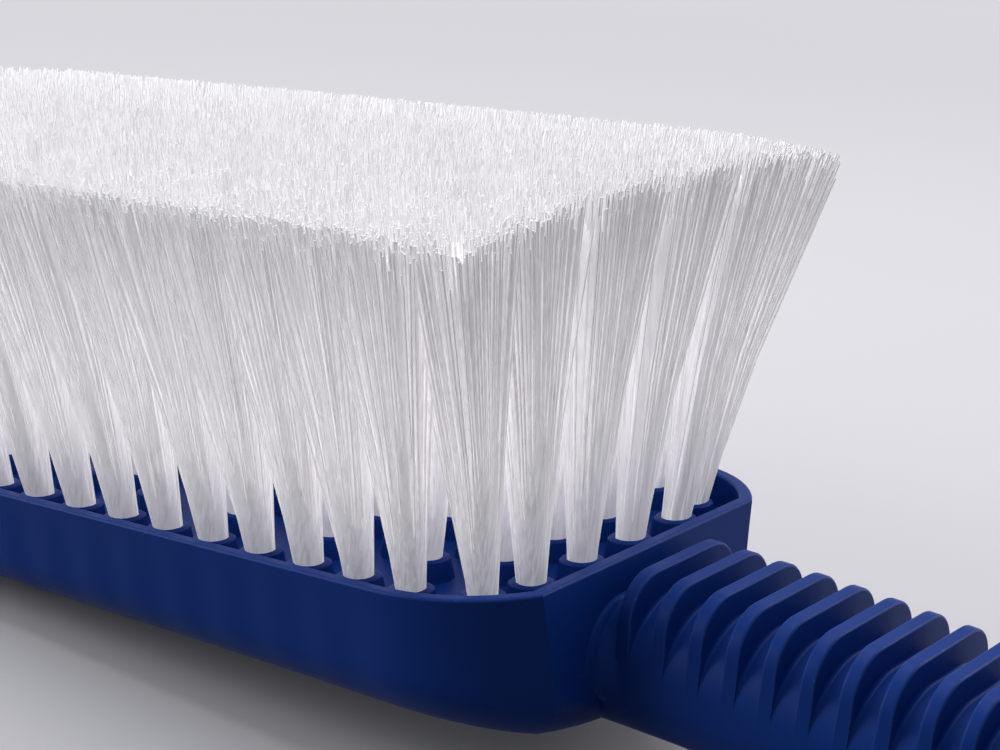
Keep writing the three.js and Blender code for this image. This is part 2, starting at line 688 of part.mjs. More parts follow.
const FLANGE_LOW = TAIL_NECK;
const FLANGE_HIGH = FLANGE_LOW + TAIL_FLANGE_THICKNESS;
const SLIP_LOW = FLANGE_LOW - FIT - SLIP_RING_THICKNESS;
const LIP_HIGH = SLIP_LOW - FIT;
const LIP_LOW = LIP_HIGH - NUT_LIP_THICKNESS;
const NUT_HIGH = LIP_LOW + NUT_LENGTH;
const FILTER_LOW = FLANGE_HIGH + FIT;
const HOSE_WASHER_LOW = FILTER_LOW + FILTER_THICKNESS + FIT;
const TAIL_GROOVE_MIDDLE = -TAIL_DEPTH + FIT + TAIL_RING_SETBACK + O_RING_SECTION / 2;
const TAIL_RING_SEAT = TAIL_RADIUS - O_RING_SECTION + O_RING_SQUEEZE;

function makeTailPiece() {
  const shank = ring(BORE_RADIUS, TAIL_RADIUS, -TAIL_DEPTH + FIT, FLANGE_HIGH);
  const flange = ring(BORE_RADIUS, TAIL_FLANGE_RADIUS, FLANGE_LOW, FLANGE_HIGH);
  const half = O_RING_SECTION / 2 + FIT;
  const ringGroove = ring(TAIL_RING_SEAT - FIT, TAIL_RADIUS + FIT,
    TAIL_GROOVE_MIDDLE - half, TAIL_GROOVE_MIDDLE + half);
  return shank.add(flange).subtract(ringGroove);
}

// Swivel nut with a lobed grip, drawn in at the lip that the tail piece holds
function makeCouplingNut() {
  const steps = NUT_LOBES * 4;
  const outline = new THREE.Shape(Array.from({ length: steps }, (_, i) => {
    const angle = 2 * Math.PI * i / steps;
    const radius = NUT_RADIUS - NUT_LOBE + NUT_LOBE * Math.cos(NUT_LOBES * angle);
    return new THREE.Vector2(radius * Math.cos(angle), radius * Math.sin(angle));
  }));
  const blank = new THREE.ExtrudeGeometry(outline, { depth: NUT_LENGTH, steps: 1, bevelEnabled: false });
  const thread = disc(THREAD_RADIUS, LIP_HIGH, NUT_HIGH + FIT, SHOWN_ROUND);
  const lipHole = disc(TAIL_RADIUS + RUN_FIT, LIP_LOW - FIT, NUT_HIGH);
  return cut(solid(blank.translate(0, 0, LIP_LOW)), [thread, lipHole]);
}

function makeSlipRing() {
  return ring(TAIL_RADIUS + FIT, TAIL_FLANGE_RADIUS, SLIP_LOW, SLIP_LOW + SLIP_RING_THICKNESS);
}

function makeFilter() {
  const plate = disc(THREAD_RADIUS - RUN_FIT, FILTER_LOW, FILTER_LOW + FILTER_THICKNESS);
  const hole = geometryOf(disc(FILTER_HOLE_RADIUS, FILTER_LOW - FIT, HOSE_WASHER_LOW, BOSS_SIDES));
  const holes = [solid(hole)];
  const spacing = HOSE_WASHER_BORE - 2 * FILTER_HOLE_RADIUS;
  for (let i = 0; i < BOSS_SIDES; i += 1) {
    const angle = 2 * Math.PI * i / BOSS_SIDES;
    holes.push(solid(hole.clone().translate(spacing * Math.cos(angle), spacing * Math.sin(angle), 0)));
  }
  return plate.subtract(join(holes));
}

function makeHoseWasher() {
  const high = HOSE_WASHER_LOW + HOSE_WASHER_THICKNESS;
  return ring(HOSE_WASHER_BORE, THREAD_RADIUS - RUN_FIT, HOSE_WASHER_LOW, high);
}

// Assembly in groups: the head, the tap on its axis and the coupling on the handle's end

const brush = new THREE.Group();
const tapGroup = new THREE.Group();
const couplingGroup = new THREE.Group();
brush.add(tapGroup, couplingGroup);
tapGroup.applyMatrix4(tapMatrix);
couplingGroup.applyMatrix4(endMatrix);

addPiece(brush, 'body', makeBody(), bluePlastic());
addPiece(brush, 'tuft_plate', makeTuftPlate(), bluePlastic());
addPiece(brush, 'plate_gasket', makePlateGasket(), blackRubber());
for (let bank = 0; bank < BANKS; bank += 1) {
  addPiece(brush, `bristle_bank_${bank + 1}`, makeBristleBank(bank), whiteBristle());
}

addPiece(tapGroup, 'tap_plug', makeTapPlug(), greyPlastic());
addPiece(tapGroup, 'tap_upper_o_ring', oRing(O_RING_SEAT, O_RING_HEIGHT), blackRubber());
addPiece(tapGroup, 'tap_lower_o_ring', oRing(O_RING_SEAT, -O_RING_HEIGHT), blackRubber());
addPiece(tapGroup, 'tap_seat_front', makeTapSeat(-1), greyPlastic());
addPiece(tapGroup, 'tap_seat_rear', makeTapSeat(1), greyPlastic());
addPiece(tapGroup, 'tap_clip', makeTapClip(), steel());
addPiece(tapGroup, 'tap_thrust_washer', makeThrustWasher(), greyPlastic());
addPiece(tapGroup, 'tap_lever', makeTapLever(), bluePlastic());
addPiece(tapGroup, 'lever_screw', makeLeverScrew(), steel());

addPiece(couplingGroup, 'tail_piece', alongX(makeTailPiece()), greyPlastic());
addPiece(couplingGroup, 'tail_o_ring', alongX(oRing(TAIL_RING_SEAT, TAIL_GROOVE_MIDDLE)), blackRubber());
addPiece(couplingGroup, 'coupling_nut', alongX(makeCouplingNut()), bluePlastic());
addPiece(couplingGroup, 'nut_slip_ring', alongX(makeSlipRing()), greyPlastic());
addPiece(couplingGroup, 'filter_screen', alongX(makeFilter()), steel());
addPiece(couplingGroup, 'hose_washer', alongX(makeHoseWasher()), blackRubber());

// Lay the brush down: turn it until the head's tip and the coupling touch the same plane, then
// put the middle of its box's underside at the origin

function lowestUnder(object) {
  brush.updateMatrixWorld(true);
  return new THREE.Box3().setFromObject(object, true).min.z;
}

function restTilt() {
  const [head, nut] = ['body', 'coupling_nut'].map((name) => brush.getObjectByName(name));
  let [level, steep] = [0, radians(END_DROOP)];
  for (let i = 0; i < 30; i += 1) {
    brush.rotation.y = -(level + steep) / 2;
    if (lowestUnder(nut) < lowestUnder(head)) level = -brush.rotation.y;
    else steep = -brush.rotation.y;
  }
  return -(level + steep) / 2;
}

brush.rotation.y = restTilt();
brush.updateMatrixWorld(true);
const box = new THREE.Box3().setFromObject(brush, true);
brush.position.set(-(box.min.x + box.max.x) / 2, -(box.min.y + box.max.y) / 2, -box.min.z);

export default brush;
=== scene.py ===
"""Water flow brush: smooth mouldings, fine bristles and real finishes round the packed solids.

The packed brush is the fixed frame. Each operator models one piece, or a group of like pieces,
in the head's own frame (x = 0 at its handle end, z = 0 at its rim) and lays it where the solids
are. Lengths are metres.
"""
import json
import math
import random

import bmesh
import bpy
from mathutils import Matrix, Vector


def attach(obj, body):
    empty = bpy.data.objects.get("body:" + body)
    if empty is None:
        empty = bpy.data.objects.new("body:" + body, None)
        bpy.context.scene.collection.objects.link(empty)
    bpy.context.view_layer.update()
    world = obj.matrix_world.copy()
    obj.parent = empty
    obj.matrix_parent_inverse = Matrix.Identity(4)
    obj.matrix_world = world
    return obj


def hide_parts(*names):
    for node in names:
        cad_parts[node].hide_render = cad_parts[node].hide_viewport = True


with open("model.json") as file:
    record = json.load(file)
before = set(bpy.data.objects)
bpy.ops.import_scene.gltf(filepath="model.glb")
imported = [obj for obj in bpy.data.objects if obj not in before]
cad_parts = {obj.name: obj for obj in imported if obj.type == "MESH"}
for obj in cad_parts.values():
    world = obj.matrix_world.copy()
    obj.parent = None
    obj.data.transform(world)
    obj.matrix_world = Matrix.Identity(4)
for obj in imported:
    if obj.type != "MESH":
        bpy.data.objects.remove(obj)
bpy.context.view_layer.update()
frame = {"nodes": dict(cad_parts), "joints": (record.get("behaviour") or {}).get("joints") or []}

bl_info = {
    "name": "Water Flow Brush",
    "version": (1, 0, 0),
    "blender": (4, 5, 0),
    "location": "View3D > Sidebar > Flow Brush",
    "description": "Models a hand-held water flow brush round its packed solids",
    "category": "Add Mesh",
}

JOINTS = {joint["name"]: joint for joint in frame["joints"]}
FULL_TURN = 2 * math.pi
QUARTER = math.pi / 2


# Settings that a user would change

def metres(name, default, description):
    """A length setting."""
    return bpy.props.FloatProperty(
        name=name, default=default, description=description, unit="LENGTH", precision=5)


def degrees(name, default, description):
    """An angle setting, given in degrees and kept in radians."""
    return bpy.props.FloatProperty(
        name=name, default=math.radians(default), description=description, subtype="ANGLE")


def number(name, default, description):
    """A plain ratio or exponent."""
    return bpy.props.FloatProperty(name=name, default=default, description=description)


def count(name, default, description):
    """A whole number of repeats."""
    return bpy.props.IntProperty(name=name, default=default, description=description, min=1)


def colour(name, default, description):
    """A scene-linear colour."""
    return bpy.props.FloatVectorProperty(
        name=name, default=default, description=description, subtype="COLOR", size=3, min=0, max=1)


class HeadSizes(bpy.types.PropertyGroup):
    """The trough-shaped head."""
    length: metres("Length", 0.190, "From the tip to the handle end")
    width: metres("Width", 0.080, "Across the rim")
    corner_radius: metres("Corner radius", 0.024, "Radius of the corner arcs")
    end_flat: metres("End flat", 0.055, "Width of the flat ends between their creases")
    tip_depth: metres("Tip depth", 0.0165, "Depth of the trough at the tip")
    root_depth: metres("Root depth", 0.027, "Depth of the trough under the handle end")
    belly_fall: number("Belly fall", 0.84, "How much of the belly is gone at the sides")
    belly_rise: number("Belly rise", 1.5, "How late the belly deepens towards the handle")
    wall: metres("Wall", 0.0022, "Thickness of the walls")
    ledge: metres("Ledge", 0.003, "Width of the ledge under the tuft plate")
    draft: metres("Draft", 0.0013, "How far the wall leans in by its lower edge")
    edge_radius: metres("Edge radius", 0.0065, "Round between wall and back")
    rim_round: metres("Rim round", 0.0005, "Round of the rim's edges")
    flute_depth: metres("Flute depth", 0.00022, "Faint hollows in the long walls between tufts")


class TuftSizes(bpy.types.PropertyGroup):
    """The tuft plate and its bristles."""
    recess: metres("Recess", 0.0055, "From the rim down to the plate")
    thickness: metres("Thickness", 0.0026, "Thickness of the plate")
    gasket: metres("Gasket", 0.0018, "Room for the seal under the plate")
    fit: metres("Fit", 0.0003, "Gap between the plate and the wall")
    collar_height: metres("Collar height", 0.0033, "Height of the collars on the plate")
    collar_top: metres("Collar top", 0.0033, "Radius of a collar at its lip")
    collar_foot: metres("Collar foot", 0.0041, "Radius of a collar at its foot")
    jet: metres("Jet", 0.0016, "Radius of the water holes")
    edge_distance: metres("Edge distance", 0.009, "From the side rows to the rim's edge")
    end_distance: metres("End distance", 0.0087, "From the end rows to the rim's edge")
    side_pitch: metres("Side pitch", 0.0099, "Spacing of the side rows")
    row_pitch: metres("Row pitch", 0.0125, "Spacing of the rows across the head")
    column_pitch: metres("Column pitch", 0.00975, "Spacing of the inner columns")
    corner_angle: degrees("Corner angle", 42, "Where the corner tufts stand on their arcs")
    radius: metres("Tuft radius", 0.0021, "Radius of a tuft at its collar")
    tip_radius: metres("Tip radius", 0.0086, "Radius of a tuft at its tips")
    height: metres("Bristle height", 0.0568, "From the rim to the tips of upright filaments")
    side_flare: metres("Side flare", 0.016, "How far the side rows lean out")
    end_flare: metres("End flare", 0.009, "How far the end rows lean out")
    tip_room: metres("Tip room", 0.0040, "How far tips spread past their tuft at the brush's outside")
    unevenness: metres("Unevenness", 0.0016, "How uneven the tips are")
    stray: number("Stray", 1.25, "How much wider a stray filament leans")
    stray_share: number("Stray share", 0.04, "Share of stray filaments")
    filaments: count("Filaments", 380, "Filaments in a tuft")
    filament_radius: metres("Filament radius", 0.00017, "Radius of a filament")
    packed: number("Packed", 0.96, "Share of a tuft's width that is packed too tight to see into")


class HandleSizes(bpy.types.PropertyGroup):
    """The ribbed handle and its barrel."""
    axis_depth: metres("Axis depth", 0.015, "From the rim down to the bore where the handle starts")
    start_droop: degrees("Start droop", 4, "Fall of the handle at the head")
    end_droop: degrees("End droop", 8, "Fall of the handle after its bend")
    droop_run: metres("Droop run", 0.050, "Length of the bend")
    length: metres("Length", 0.172, "From the head to the barrel's end")
    width: metres("Width", 0.028, "Across the ribs")
    top: metres("Top", 0.0145, "Rib height over the axis")
    bottom: metres("Bottom", 0.0115, "Depth under the axis")
    corner: metres("Corner", 0.0065, "Round of the rib's upper corners")
    low_corner: metres("Low corner", 0.009, "Round of the handle's lower corners")
    core_top: metres("Core top", 0.010, "Height of the core between the ribs")
    fillet: metres("Fillet", 0.004, "Hollow round where the handle leaves the head")
    bore: metres("Bore", 0.0045, "Radius of the water bore")
    rib_count: count("Ribs", 18, "Number of ribs")
    rib_pitch: metres("Rib pitch", 0.006, "Spacing of the ribs")
    rib_thickness: metres("Rib thickness", 0.0022, "Thickness of a rib")
    first_rib: metres("First rib", 0.0037, "From the head to the middle of the first rib")
    rib_round: metres("Rib round", 0.00045, "Round of the rib's edges")
    slot_round: metres("Slot round", 0.0006, "Round at the foot of the ribs")
    # Edges rounded tighter than this are painted pale, partly as wear and partly as a painted highlight
    worn_highlit_round: metres("Rubbed round", 0.0011, "Edges with a smaller round than this are rubbed pale")
    barrel: metres("Barrel", 0.015, "Radius of the barrel")
    blend: metres("Blend", 0.009, "Length of the change from grip to barrel")


class TapSizes(bpy.types.PropertyGroup):
    """The tap in the barrel and its lever."""
    from_end: metres("From end", 0.035, "From the barrel's end to the tap's axis")
    hole: metres("Hole", 0.0074, "Radius of the plug's hole")
    boss_radius: metres("Boss radius", 0.0105, "Radius of the pad under the lever")
    boss_height: metres("Boss height", 0.001, "Height of the pad over the barrel")
    pocket_radius: metres("Pocket radius", 0.0095, "Radius of the clip's pocket")
    pocket_depth: metres("Pocket depth", 0.0045, "Depth of the clip's pocket")
    washer: metres("Washer", 0.0008, "Thickness of the thrust washer")
    washer_radius: metres("Washer radius", 0.009, "Radius of the thrust washer")
    stem: metres("Stem", 0.008, "Width of the plug's square stem")
    stem_length: metres("Stem length", 0.0054, "Height of the stem in the hub")
    hub_radius: metres("Hub radius", 0.0095, "Radius of the lever's hub")
    hub_height: metres("Hub height", 0.008, "Height of the lever's hub")
    lever_length: metres("Lever length", 0.036, "From the axis to the lever's tip")
    lever_tip: metres("Lever tip", 0.0045, "Radius of the lever's tip")
    lever_thickness: metres("Lever thickness", 0.0045, "Thickness of the lever's arm")
    lever_round: metres("Lever round", 0.0011, "Round of the lever's edges")
    screw_radius: metres("Screw radius", 0.0015, "Radius of the lever screw's shank")
    screw_head: metres("Screw head", 0.0036, "Radius of the lever screw's head")
    screw_head_height: metres("Screw head height", 0.0016, "Height of the screw's head")
    screw_length: metres("Screw length", 0.008, "Length of the lever screw")


class CouplingSizes(bpy.types.PropertyGroup):
    """The hose coupling at the barrel's end."""
    tail_radius: metres("Tail radius", 0.008, "Radius of the tail piece")
    tail_depth: metres("Tail depth", 0.016, "How far the tail piece goes into the barrel")
    tail_neck: metres("Tail neck", 0.0066, "From the barrel to the tail's flange")
    flange: metres("Flange", 0.0025, "Thickness of the tail's flange")
    slip_ring: metres("Slip ring", 0.0014, "Thickness of the slip ring")
    filter: metres("Filter", 0.0008, "Thickness of the filter screen")
    nut_radius: metres("Nut radius", 0.016, "Radius over the nut's lobes")
    nut_lobe: metres("Nut lobe", 0.0006, "Height of the lobes' wave")
    nut_lobes: count("Nut lobes", 14, "Lobes round the nut")
    nut_length: metres("Nut length", 0.024, "Length of the nut")
    nut_lip: metres("Nut lip", 0.003, "Thickness of the nut's lip")
    nut_round: metres("Nut round", 0.0012, "Round of the nut's ends")
    thread_radius: metres("Thread radius", 0.013, "Radius of the nut's bore")
    thread_pitch: metres("Thread pitch", 0.0018, "Pitch of the hose thread")
    thread_height: metres("Thread height", 0.0009, "Height of the hose thread")
    washer: metres("Washer", 0.003, "Thickness of the hose washer")
    washer_bore: metres("Washer bore", 0.0075, "Radius of the washer's hole")
    run_fit: metres("Running fit", 0.0004, "Gap between pieces that turn")


class FinishColours(bpy.types.PropertyGroup):
    """The colours of the finishes and the stage."""
    blue: colour("Blue", (0.004, 0.032, 0.205), "Moulded blue plastic")
    # Colour of the tight edges: partly wear, partly a painted highlight
    blue_worn_and_highlit: colour("Worn blue", (0.06, 0.11, 0.36), "Rubbed edges of the blue plastic")
    bristle: colour("Bristle", (0.95, 0.945, 0.965), "White filaments")
    bristle_root: colour("Bristle root", (0.88, 0.87, 0.90), "Filaments near the plate")
    # The bristle light colours (low, high, streak) are a painted glow, the filaments' emission, standing
    # for light scattered through them
    bristle_glow_low: colour("Low light", (0.31, 0.30, 0.307), "Light passed on near the plate")
    bristle_glow_high: colour("High light", (0.125, 0.12, 0.125), "Light passed on near the tips")
    bristle_streak: colour("Bristle streak", (0.62, 0.62, 0.65), "Fine lines along the filaments")
    bristle_glow_streak: colour("Streak light", (0.06, 0.058, 0.06), "Light passed on in those lines")
    rubber: colour("Rubber", (0.02, 0.02, 0.021), "Black seals")
    rubber_bloom: colour("Rubber bloom", (0.07, 0.07, 0.072), "Pale bloom on the seals")
    grey: colour("Grey", (0.58, 0.60, 0.64), "Grey inner mouldings")
    steel: colour("Steel", (0.60, 0.61, 0.63), "Screw, clip and filter")
    floor: colour("Floor", (0.62, 0.615, 0.65), "Pale table")
    backdrop: colour("Backdrop", (0.66, 0.652, 0.695), "Far table and backdrop, as seen")
    surroundings: colour("Surroundings", (0.104, 0.105, 0.109), "Weak light from all round")


# Finishes

class Value:
    """A shader socket that can stand in Python sums."""

    def __init__(self, finish, socket):
        self.finish = finish
        self.socket = socket

    def math(self, operation, first, second):
        """A Math node on two values."""
        return self.finish.node("ShaderNodeMath", {"operation": operation}, {0: first, 1: second})

    def __add__(self, other):
        return self.math("ADD", self, other)

    def __radd__(self, other):
        return self.math("ADD", other, self)

    def __mul__(self, other):
        return self.math("MULTIPLY", self, other)

    def __rmul__(self, other):
        return self.math("MULTIPLY", other, self)


class Finish:
    """A material made node by node round one Principled shader."""

    def __init__(self, name, **constants):
        self.material = bpy.data.materials.new(name)
        self.material.use_nodes = True
        self.tree = self.material.node_tree
        self.shader = self.tree.nodes["Principled BSDF"]
        for socket, value in constants.items():
            self.shader.inputs[socket.replace("_", " ")].default_value = value

    def node(self, kind, settings=None, inputs=None, output=0):
        """Adds a node, its settings first, then the values or links of its sockets."""
        made = self.tree.nodes.new(kind)
        for name, value in (settings or {}).items():
            if name == "stops":
                for stop, (position, level) in zip(made.color_ramp.elements, value):
                    stop.position = position
                    stop.color = (level, level, level, 1)
            else:
                setattr(made, name, value)
        for key, value in (inputs or {}).items():
            if isinstance(value, Value):
                self.tree.links.new(value.socket, made.inputs[key])
            else:
                made.inputs[key].default_value = value
        return Value(self, made.outputs[output])

    def place(self, stretch=(1, 1, 1)):
        """Object coordinates in metres, stretched along each axis."""
        where = self.node("ShaderNodeTexCoord", output="Object")
        return self.node("ShaderNodeMapping", inputs={"Vector": where, "Scale": stretch})

    def noise(self, scale, detail=2, stretch=(1, 1, 1)):
        """Noise of that many cells in a metre."""
        inputs = {"Vector": self.place(stretch), "Scale": scale, "Detail": detail}
        return self.node("ShaderNodeTexNoise", inputs=inputs)

    def mixed(self, factor, first, second):
        """A colour between two colours."""
        inputs = {0: factor, 6: rgba(first), 7: rgba(second)}
        return self.node("ShaderNodeMix", {"data_type": "RGBA"}, inputs, output=2)

    def stops(self, value, *stops):
        """A value passed through a ramp of (position, level) stops."""
        return self.node("ShaderNodeValToRGB", {"stops": stops}, {0: value})

    def bump(self, height, strength, distance):
        """A bumped normal."""
        inputs = {"Height": height, "Strength": strength, "Distance": distance}
        return self.node("ShaderNodeBump", inputs=inputs)

    def seen(self):
        """Whether a ray shows this to the eye, straight on or in something shiny or clear."""
        camera, glossy, through = (
            self.node("ShaderNodeLightPath", output=f"Is {kind} Ray")
            for kind in ("Camera", "Glossy", "Transmission"))
        return camera + glossy + through

    def feed(self, **links):
        """Links values to the shader's sockets."""
        for socket, value in links.items():
            self.tree.links.new(value.socket, self.shader.inputs[socket.replace("_", " ")])
        return self.material


class Surroundings(Finish):
    """The world round the brush, made in the same way."""

    def __init__(self, name):
        self.material = bpy.data.worlds.new(name)
        self.material.use_nodes = True
        self.tree = self.material.node_tree
        self.shader = self.tree.nodes["Background"]


def rgba(value):
    """A colour for a socket, or the value as it is if it is a link."""
    return value if isinstance(value, Value) else (*value, 1)


def darker(tint, share):
    """A colour at a share of its brightness."""
    return tuple(share * channel for channel in tint)


def blue_finish(colours):
    """Moulded blue plastic: satin, slightly uneven, with a fine skin and pale tight edges, partly wear
    and partly a painted highlight.
    """
    finish = Finish("moulded_blue", Specular_IOR_Level=0.07)
    cloud = finish.noise(38, 3)
    grain = finish.noise(2600, 2)
    fleck = finish.stops(finish.noise(900, 2), (0.70, 0), (0.76, 1))
    edge = finish.node("ShaderNodeAttribute", {"attribute_name": "worn_and_highlit"}, output="Fac")
    # Tight edges painted pale: the even part is a painted highlight, the flecks on it are wear
    wear_and_highlight = edge * (0.12 + 0.75 * fleck)
    base = finish.mixed(cloud, darker(colours.blue, 0.86), colours.blue)
    base = finish.mixed(wear_and_highlight, base, colours.blue_worn_and_highlit)
    roughness = 0.30 + 0.12 * cloud + 0.08 * grain
    return finish.feed(
        Base_Color=base, Roughness=roughness, Normal=finish.bump(grain, 0.10, 0.00008))


def bristle_finish(colours):
    """White streaked filaments, greyer at their roots, with a painted glow in their emission that stands
    for light scattered through them.
    """
    finish = Finish("white_bristle", IOR=1.5, Emission_Strength=1.0)
    strand = finish.noise(2400, 2, (1, 1, 0.02))
    streak = finish.stops(strand, (0.40, 0), (0.64, 1))
    height = finish.node("ShaderNodeAttribute", {"attribute_name": "along"}, output="Fac")
    lift = finish.stops(height, (0.05, 0), (0.55, 1))
    base = finish.mixed(lift, colours.bristle_root, colours.bristle)
    base = finish.mixed(0.22 * streak, base, colours.bristle_streak)
    # Painted glow given as emission: stronger near the plate, weaker at the tips and in the streaks
    painted_glow = finish.mixed(height * height, colours.bristle_glow_low, colours.bristle_glow_high)
    painted_glow = finish.mixed(0.30 * streak, painted_glow, colours.bristle_glow_streak)
    return finish.feed(
        Base_Color=base, Emission_Color=painted_glow, Roughness=0.42 + 0.2 * strand,
        Normal=finish.bump(strand, 0.5, 0.0003))


def rubber_finish(colours):
    """Matt black rubber with a fine bloom."""
    finish = Finish("black_rubber", IOR=1.5)
    bloom = finish.noise(420, 3)
    base = finish.mixed(0.35 * bloom, colours.rubber, colours.rubber_bloom)
    normal = finish.bump(finish.noise(3000, 2), 0.2, 0.0001)
    return finish.feed(Base_Color=base, Roughness=0.62 + 0.2 * bloom, Normal=normal)


def grey_finish(colours):
    """Satin grey plastic."""
    finish = Finish("grey_moulding", IOR=1.5)
    cloud = finish.noise(160, 3)
    base = finish.mixed(cloud, darker(colours.grey, 0.9), colours.grey)
    normal = finish.bump(finish.noise(2600, 2), 0.1, 0.0001)
    return finish.feed(Base_Color=base, Roughness=0.38 + 0.14 * cloud, Normal=normal)


def steel_finish(colours):
    """Plain steel with fine turning marks."""
    finish = Finish("plain_steel", Metallic=1.0)
    marks = finish.noise(900, 3, (1, 1, 6))
    base = finish.mixed(marks, darker(colours.steel, 0.8), colours.steel)
    normal = finish.bump(marks, 0.15, 0.00008)
    return finish.feed(Base_Color=base, Roughness=0.24 + 0.2 * marks, Normal=normal)


FINISHES = {
    "blue_plastic": blue_finish,
    "bristle": bristle_finish,
    "rubber": rubber_finish,
    "grey_plastic": grey_finish,
    "steel": steel_finish,
}
made_finishes = {}


def finish_for(slot):
    """The material of one of the record's slots, made once."""
    if slot not in made_finishes:
        made_finishes[slot] = FINISHES[slot](bpy.context.scene.flow_colours)
    return made_finishes[slot]


# Modelling helpers

STILL = Matrix.Identity(4)
WELD = 1e-6
ROUND_STEPS = 5


def axis_matrix(handle, station):
    """The frame of the handle's axis at a station: it droops along an arc, then runs straight."""
    bend = (handle.end_droop - handle.start_droop) / handle.droop_run
    curved = min(max(station, 0), handle.droop_run)
    angle = handle.start_droop + bend * curved
    straight = station - curved
    x = (math.sin(angle) - math.sin(handle.start_droop)) / bend + straight * math.cos(angle)
    fall = (math.cos(handle.start_droop) - math.cos(angle)) / bend + straight * math.sin(angle)
    return Matrix.Translation((x, 0, -handle.axis_depth - fall)) @ Matrix.Rotation(angle, 4, "Y")


def head_matrix():
    """Where the head's own frame lies, worked back along the handle from the tap's axis."""
    handle = bpy.context.scene.flow_handle
    tap = JOINTS["tap_turn"]
    lean = math.atan2(tap["axis"][0], tap["axis"][2])
    turn = Matrix.Rotation(lean - handle.end_droop, 4, "Y")
    station = handle.length - bpy.context.scene.flow_tap.from_end
    origin = Vector(tap["pos_m"]) - turn @ axis_matrix(handle, station).translation
    return Matrix.Translation(origin) @ turn


def object_from(bm, name, matrix):
    """A new object from a bmesh, laid in the frame by its mesh."""
    bmesh.ops.transform(bm, matrix=matrix, verts=bm.verts)
    mesh = bpy.data.meshes.new(name)
    bm.to_mesh(mesh)
    bm.free()
    made = bpy.data.objects.new(name, mesh)
    bpy.context.scene.collection.objects.link(made)
    return made


def settle(piece):
    """Makes what a piece's modifiers show its own mesh."""
    shown = piece.evaluated_get(bpy.context.evaluated_depsgraph_get())
    mesh = bpy.data.meshes.new_from_object(shown)
    piece.modifiers.clear()
    old = piece.data
    piece.data = mesh
    bpy.data.meshes.remove(old)


def carve(piece, matrix, joined=(), removed=()):
    """Joins closed shapes to a piece, then cuts others out of it."""
    tools = []
    for operation, shapes in (("UNION", joined), ("DIFFERENCE", removed)):
        for shape in shapes:
            tool = object_from(shape, f"tool_{len(tools)}", matrix)
            modifier = piece.modifiers.new(tool.name, "BOOLEAN")
            modifier.operation = operation
            modifier.solver = "EXACT"
            modifier.object = tool
            tools.append(tool)
    settle(piece)
    for tool in tools:
        mesh = tool.data
        bpy.data.objects.remove(tool)
        bpy.data.meshes.remove(mesh)


def dress(piece, body, slot, *nodes, sharp=35):
    """Finishes a piece, which stands for its solids and moves with their body."""
    piece.data.materials.clear()
    piece.data.materials.append(finish_for(slot))
    piece.data.shade_smooth()
    piece.data.set_sharp_from_angle(angle=math.radians(sharp))
    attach(piece, body)
    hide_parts(*nodes)


def mark_worn_highlit_edges(piece, radius):
    """Marks outer edges rounded tighter than a radius, which are painted pale, partly as wear and partly
    as a painted highlight.
    """
    bm = bmesh.new()
    bm.from_mesh(piece.data)
    worn_and_highlit = bm.verts.layers.float.new("worn_and_highlit")
    for edge in bm.edges:
        if edge.is_manifold:
            first, second = edge.link_faces
            along = (edge.verts[1].co - edge.verts[0].co).normalized()
            gap = second.calc_center_median() - first.calc_center_median()
            across = (gap - along * gap.dot(along)).length
            if edge.calc_face_angle_signed() * radius > across:
                for vert in edge.verts:
                    vert[worn_and_highlit] = 1
    bm.to_mesh(piece.data)
    bm.free()


def even_shading(piece):
    """Keeps broad flat faces flat next to small rounds."""
    modifier = piece.modifiers.new("Even shading", "WEIGHTED_NORMAL")
    modifier.keep_sharp = True


def sweep(rings):
    """A closed skin over rings of points, made by extruding the first from ring to ring."""
    bm = bmesh.new()
    place = bm.verts.layers.int.new("place")
    loop_verts = [bm.verts.new(point) for point in rings[0]]
    for index, vert in enumerate(loop_verts):
        vert[place] = index
    bm.faces.new(loop_verts)
    loop = list(bm.edges)
    for ring in rings[1:]:
        made = bmesh.ops.extrude_edge_only(bm, edges=loop)["geom"]
        loop = [part for part in made if isinstance(part, bmesh.types.BMEdge)]
        for vert in (part for part in made if isinstance(part, bmesh.types.BMVert)):
            vert.co = ring[vert[place]]
    bmesh.ops.holes_fill(bm, edges=loop)
    bmesh.ops.remove_doubles(bm, verts=bm.verts, dist=WELD)
    face_out(bm)
    return bm


def face_out(bm):
    """Turns every face of a closed mesh outwards."""
    bmesh.ops.recalc_face_normals(bm, faces=bm.faces)
    if bm.calc_volume(signed=True) < 0:
        bmesh.ops.reverse_faces(bm, faces=bm.faces)


def rod(radius, low, high, matrix, sides=48):
    """A round rod about Z between two heights, laid by a matrix."""
    bm = bmesh.new()
    middle = matrix @ Matrix.Translation((0, 0, (low + high) / 2))
    bmesh.ops.create_cone(
        bm, cap_ends=True, segments=sides, radius1=radius, radius2=radius, depth=high - low,
        matrix=middle)
    return bm


def block(size, middle):
    """A box of a size about its middle."""
    bm = bmesh.new()
    bmesh.ops.create_cube(bm, size=1, matrix=Matrix.LocRotScale(Vector(middle), None, size))
    return bm


def turned(profile, sides=64):
    """A ring turned about Z from a closed profile of (radius, height) corners."""
    bm = bmesh.new()
    verts = [bm.verts.new((radius, 0, height)) for radius, height in profile]
    edges = [bm.edges.new(pair) for pair in zip(verts, verts[1:] + verts[:1])]
    bmesh.ops.spin(
        bm, geom=verts + edges, cent=(0, 0, 0), axis=(0, 0, 1), angle=FULL_TURN, steps=sides,
        use_merge=True)
    bmesh.ops.remove_doubles(bm, verts=bm.verts, dist=WELD)
    face_out(bm)
    return bm


